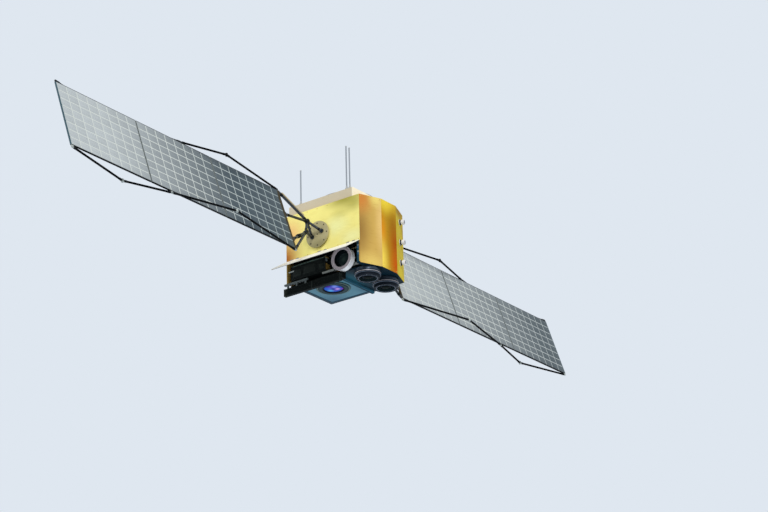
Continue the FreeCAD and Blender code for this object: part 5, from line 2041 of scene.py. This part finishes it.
@dataclass
class SolarPanels:
    """One wing's three panels: cover-glassed cells, faces, edges and what the back carries.

    The line is the face that shows between blocks of cells, skin and glass are thicknesses, and
    the lips are those of the closeout channels along the span and across it.
    """

    wing: Wing
    cells: CellGlass
    blocks: tuple[int, int] = (8, 8)
    line: float = 0.018
    skin: float = 0.0006
    glass: float = 0.0009
    channel_wall: float = 0.0012
    long_lip: float = 0.012
    short_lip: float = 0.016
    half_width: float = 0.6225
    half_thick: float = 0.0125
    root: float = 1.496
    pitch: float = 1.8
    length: float = 1.784

    def channel(
        self, shape: Shape, edge: float, out: int, run: Pair, spanwise: bool = False
    ) -> None:
        """Adds the closeout channel along one edge of a panel.

        Args:
            shape: The shape it goes to.
            edge: Place of the edge, across the wing if it runs along the span.
            out: Which way is out of the panel, 1 or -1.
            run: Where the channel starts and ends along the edge.
            spanwise: Whether the edge runs along the span.
        """
        n, wall = self.half_thick, self.channel_wall
        lip = self.long_lip if spanwise else self.short_lip
        strips = ((0.0, -n - wall, n + wall), (-lip, -n - wall, -n), (-lip, n, n + wall))
        for inner, low, high in strips:
            cross = sorted((edge + out * inner, edge + out * wall))
            x, s = (run, cross) if spanwise else (cross, run)
            self.wing.block(shape, x, s, (low, high), 0.0004)

    def build(self) -> None:
        """Makes the panels' parts."""
        wing, side, n = self.wing, self.wing.side, self.half_thick
        dress(BACK_CARBON, *(f"panel_{name}_{side}" for name in PANEL_NAMES))
        dress(BRACKET_ALLOY, f"panel_hinges_{side}")
        long_edges, root_edge, tip_edge, gaps = Shape(), Shape(), Shape(), Shape()
        faces, straps, cups = Shape(), Shape(), Shape()
        inserts = Fasteners(f"panel_inserts_{side}", BRACKET_ALLOY, "hinge_alloy", wing.body)
        reach, across = self.half_width - 0.001, (0.002 - self.half_width, self.half_width - 0.002)
        for number, name in enumerate(PANEL_NAMES):
            start = self.root + number * self.pitch
            end = start + self.length
            wing.block(faces, (start + 0.001, end - 0.001), (-reach, reach), (n, n + self.skin))
            for out in (-1, 1):
                self.channel(long_edges, out * self.half_width, out, (start, end), True)
            self.channel(root_edge if name == "inner" else gaps, start, -1, across)
            self.channel(tip_edge if name == "outer" else gaps, end, 1, across)
            self.tiles(number, (start + end) / 2)
            self.back(straps, cups, inserts, start)
        outline = ((0.0, -0.619), (0.036, -0.619), (0.074, 0.46), (0.046, 0.619), (0.0, 0.619))
        tape = [wing.at(self.root + x, s, n + 0.0011) for x, s in outline]
        root_edge.prism(tape, wing.normal * 0.0011)
        wing.piece(long_edges, "panel_edges", EDGE_BLACK)
        wing.piece(root_edge, "panel_root_edge", EDGE_AMBER, "hinge_alloy")
        wing.piece(tip_edge, "panel_tip_edge", EDGE_TEAL)
        wing.piece(gaps, "panel_gap_edges", SEAM_GREY)
        wing.piece(faces, "panel_faces", PANEL_FACE, "solar_panel")
        wing.piece(straps, "panel_harness", HARNESS_TAPE)
        wing.piece(cups, "hold_down_cups", BRACKET_ALLOY, "hinge_alloy")
        inserts.piece()

    def tiles(self, number: int, middle: float) -> None:
        """Sets one panel's blocks of cells out on its face.

        Args:
            number: The panel, from 0 at the root.
            middle: Its middle along the span.
        """
        wing, (along, across) = self.wing, self.blocks
        long, wide = self.length / along, 2 * self.half_width / across
        half = ((long - self.line) / 2, (wide - self.line) / 2)
        mesh = PATTERNS[Layout.GRID].run(
            Shape().block((-half[0], -half[1], 0), (*half, self.glass), 0.0004), self.cells,
            Count=along, Count_Across=across, Width=(along - 1) * long, Depth=(across - 1) * wide,
            Clear=-1.0, Seed=number + 3 * (wing.sign > 0), Turn=Euler((WING_TILT, 0.0, 0.0)),
            Place=tuple(wing.at(middle, 0, self.half_thick + self.skin))
        )
        place_piece(f"cells_{PANEL_NAMES[number]}_{wing.side}", mesh, wing.body)

    def back(self, straps: Shape, cups: Shape, inserts: Fasteners, start: float) -> None:
        """Adds one panel's flat harness, hold-down cups and inserts on its back.

        Args:
            straps: The harness so far.
            cups: The cups so far.
            inserts: The inserts so far.
            start: Where the panel starts along the span.
        """
        wing, n, end = self.wing, -self.half_thick, start + self.length
        middle = start + self.length / 2
        run = (start + 0.06, end - 0.06)
        for s in (-0.20, -0.16, 0.16, 0.20):
            wing.block(straps, run, (s - 0.012, s + 0.012), (n - 0.0022, n), 0.0006)
        cup = (
            (0.012, -0.001), (0.046, -0.001), (0.046, 0.003), (0.032, 0.006), (0.028, 0.015),
            (0.020, 0.015), (0.012, 0.006)
        )
        for x in (middle - 0.62, middle, middle + 0.62):
            strap = ((x - 0.014, x + 0.014), (-0.215, 0.215), (n - 0.0040, n - 0.0018))
            wing.block(straps, *strap, 0.0006)
            if x != middle:
                for s in (-0.42, 0.42):
                    cups.lathe(cup, stand(wing.at(x, s, n), -wing.normal), 32)
        for s in (-self.half_width + 0.03, self.half_width - 0.03):
            ends = (wing.at(start + 0.12, s, n), wing.at(end - 0.12, s, n))
            inserts.line(screw(0.006, 0.002), *ends, 9, -wing.normal)


@dataclass
class Stay:
    """One bent stay along a wing's long edge, with its end fittings and knees.

    Places of knees are along the span and out of the wing's plane. Ends and crossing lie on the
    span, the line across the wing, and the wrap leaves the tube bare next to a knee or a fitting.
    """

    wing: Wing
    edge: str
    fitting: Finish
    crossing: float = 4.620
    knee: Pair = (3.288, 0.225)
    outer_knee: Pair = (5.556, -0.198)
    ends: Pair = (1.522, 6.854)
    line: float = 0.6485
    fitting_span: Pair = (0.6215, 0.6645)
    knee_radius: float = 0.024
    fitting_half: float = 0.020
    bare: float = 0.055
    wrap_radius: float = 0.0175

    def build(self) -> None:
        """Makes the stay's parts."""
        wing, sign = self.wing, -1 if self.edge == "lower" else 1
        dress(TUBE_CARBON, f"stay_{self.edge}_{wing.side}")
        s, size = sign * self.line, self.knee_radius
        knee = (
            (0.0, 0.0), (size - 0.003, 0.0), (size + 0.0015, 0.003), (size + 0.0015, 2 * size),
            (size - 0.003, 2 * size + 0.003), (0.0, 2 * size + 0.003)
        )
        caps, collars, wrap = Shape(), Shape(), Shape()
        for x, n in (self.knee, self.outer_knee):
            place = wing.at(x, s, n) - wing.across * (size + 0.0015)
            caps.lathe(knee, stand(place, wing.across), 28)
        half, span = self.fitting_half + 0.0015, sorted(sign * place for place in self.fitting_span)
        for x in (self.ends[0], self.crossing, self.ends[1]):
            wing.block(caps, (x - half, x + half), span, (-0.0115, 0.0115), 0.002)
        first, middle, last = ((x, 0.0) for x in (self.ends[0], self.crossing, self.ends[1]))
        route = (first, self.knee, middle, self.outer_knee, last)
        points = [wing.at(x, s, n) for x, n in route]
        for start, end in zip(points, points[1:]):
            inset = (end - start).normalized() * self.bare
            wrap.pipe((start + inset, end - inset), self.wrap_radius, 16)
            for first, last in ((start, end), (end, start)):
                along = (last - first).normalized()
                at = stand(first + along * 0.032, along)
                collars.band((0.0135, 0.0205), (0.0, 0.047), 0.001, at, 20)
        wing.piece(caps, f"stay_fittings_{self.edge}", self.fitting)
        wing.piece(collars, f"stay_collars_{self.edge}", EDGE_BLACK)
        wing.piece(wrap, f"stay_wrap_{self.edge}", WRAP_BLACK)


# ---- Studio ----


@dataclass
class Studio:
    """Light, backdrop, floor and camera, in degrees, metres and millimetres of lens."""

    fill: float = 0.70
    backdrop: str = "#dfe7f0"
    sun: float = 1.7
    sun_angle: float = 22.0
    sun_from: Place = (-0.62, -0.55, 0.56)
    place: Place = (-28.756, -21.967, -15.921)
    azimuth: float = 36.403
    elevation: float = 22.359
    roll: float = -1.518
    lens: float = 105.247
    floor: float = -15.97
    floor_half: float = 60.0

    def build(self) -> None:
        """Sets everything up."""
        bpy.context.scene.view_settings.view_transform = "Standard"
        self.world()
        self.key()
        self.ground()
        self.camera()

    def world(self) -> None:
        """Lights the scene evenly and shows a plain pale backdrop."""
        world = bpy.data.worlds.new("studio")
        world.use_nodes = True
        tree = world.node_tree
        tree.nodes.clear()
        rays = add_node(tree, "ShaderNodeLightPath").outputs
        seen = rays["Is Camera Ray"]
        for kind in ("Is Glossy Ray", "Is Transmission Ray"):
            either = {"operation": "MAXIMUM", 0: seen, 1: rays[kind]}
            seen = add_node(tree, "ShaderNodeMath", either)
        fill = add_node(tree, "ShaderNodeBackground", {"Color": "#ffffff", "Strength": self.fill})
        shown = add_node(tree, "ShaderNodeBackground", {"Color": self.backdrop, "Strength": 1.0})
        mix = add_node(tree, "ShaderNodeMixShader", {0: seen, 1: fill, 2: shown})
        add_node(tree, "ShaderNodeOutputWorld", {"Surface": mix})
        bpy.context.scene.world = world

    def key(self) -> None:
        """Adds the key light."""
        light = bpy.data.lights.new("key_light", "SUN")
        light.energy = self.sun
        light.angle = math.radians(self.sun_angle)
        lamp = bpy.data.objects.new("key_light", light)
        lamp.rotation_euler = Vector(self.sun_from).to_track_quat("Z", "Y").to_euler()
        bpy.context.scene.collection.objects.link(lamp)

    def ground(self) -> None:
        """Lays the pale floor that the camera stands on."""
        shape, half = Shape(), self.floor_half
        corners = ((-half, -half), (half, -half), (half, half), (-half, half))
        shape.faces([Vector((x, y, self.floor)) for x, y in corners], ((0, 1, 2, 3),))
        shape.open_sheets = True
        mesh = shape.data("studio_floor")
        mesh.materials.append(Finish("studio_floor_paint", self.backdrop, 0.9).material())
        floor = bpy.data.objects.new("studio_floor", mesh)
        bpy.context.scene.collection.objects.link(floor)

    def camera(self) -> None:
        """Stands the camera in front of the body, looking up at it."""
        turns = ((self.azimuth - 90, "Z"), (self.elevation + 90, "X"), (self.roll, "Z"))
        heading, rise, roll = (Matrix.Rotation(math.radians(a), 4, axis) for a, axis in turns)
        data = bpy.data.cameras.new("camera")
        data.lens = self.lens
        data.sensor_width = 36
        data.clip_end = 500
        camera = bpy.data.objects.new("camera", data)
        camera.matrix_world = Matrix.Translation(self.place) @ heading @ rise @ roll
        bpy.context.scene.collection.objects.link(camera)
        bpy.context.scene.camera = camera


# ---- The whole satellite ----


def arrays() -> None:
    """Builds both wings with their drives, yokes and stays."""
    for (side, sign), cells in zip(SIDES, (CELLS_LEFT, CELLS_RIGHT)):
        wing = Wing(side, sign)
        Drive(wing).build()
        Yoke(wing).build()
        SolarPanels(wing, replace(cells, pivot=tuple(wing.at(0, 0, 0)))).build()
        Stay(wing, "lower", FITTING_PALE).build()
        Stay(wing, "upper", BLACK_STEEL, 3.988, (3.040, 0.185)).build()


def main() -> None:
    """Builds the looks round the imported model."""
    logging.basicConfig(level=logging.INFO, format="%(message)s")
    FilmFacings().build()
    ZenithDeck().build()
    InstrumentBay().build()
    BayCover().build()
    nadir_instruments()
    SunSensors().build()
    arrays()
    Studio().build()


if __name__ == "__main__":
    main()
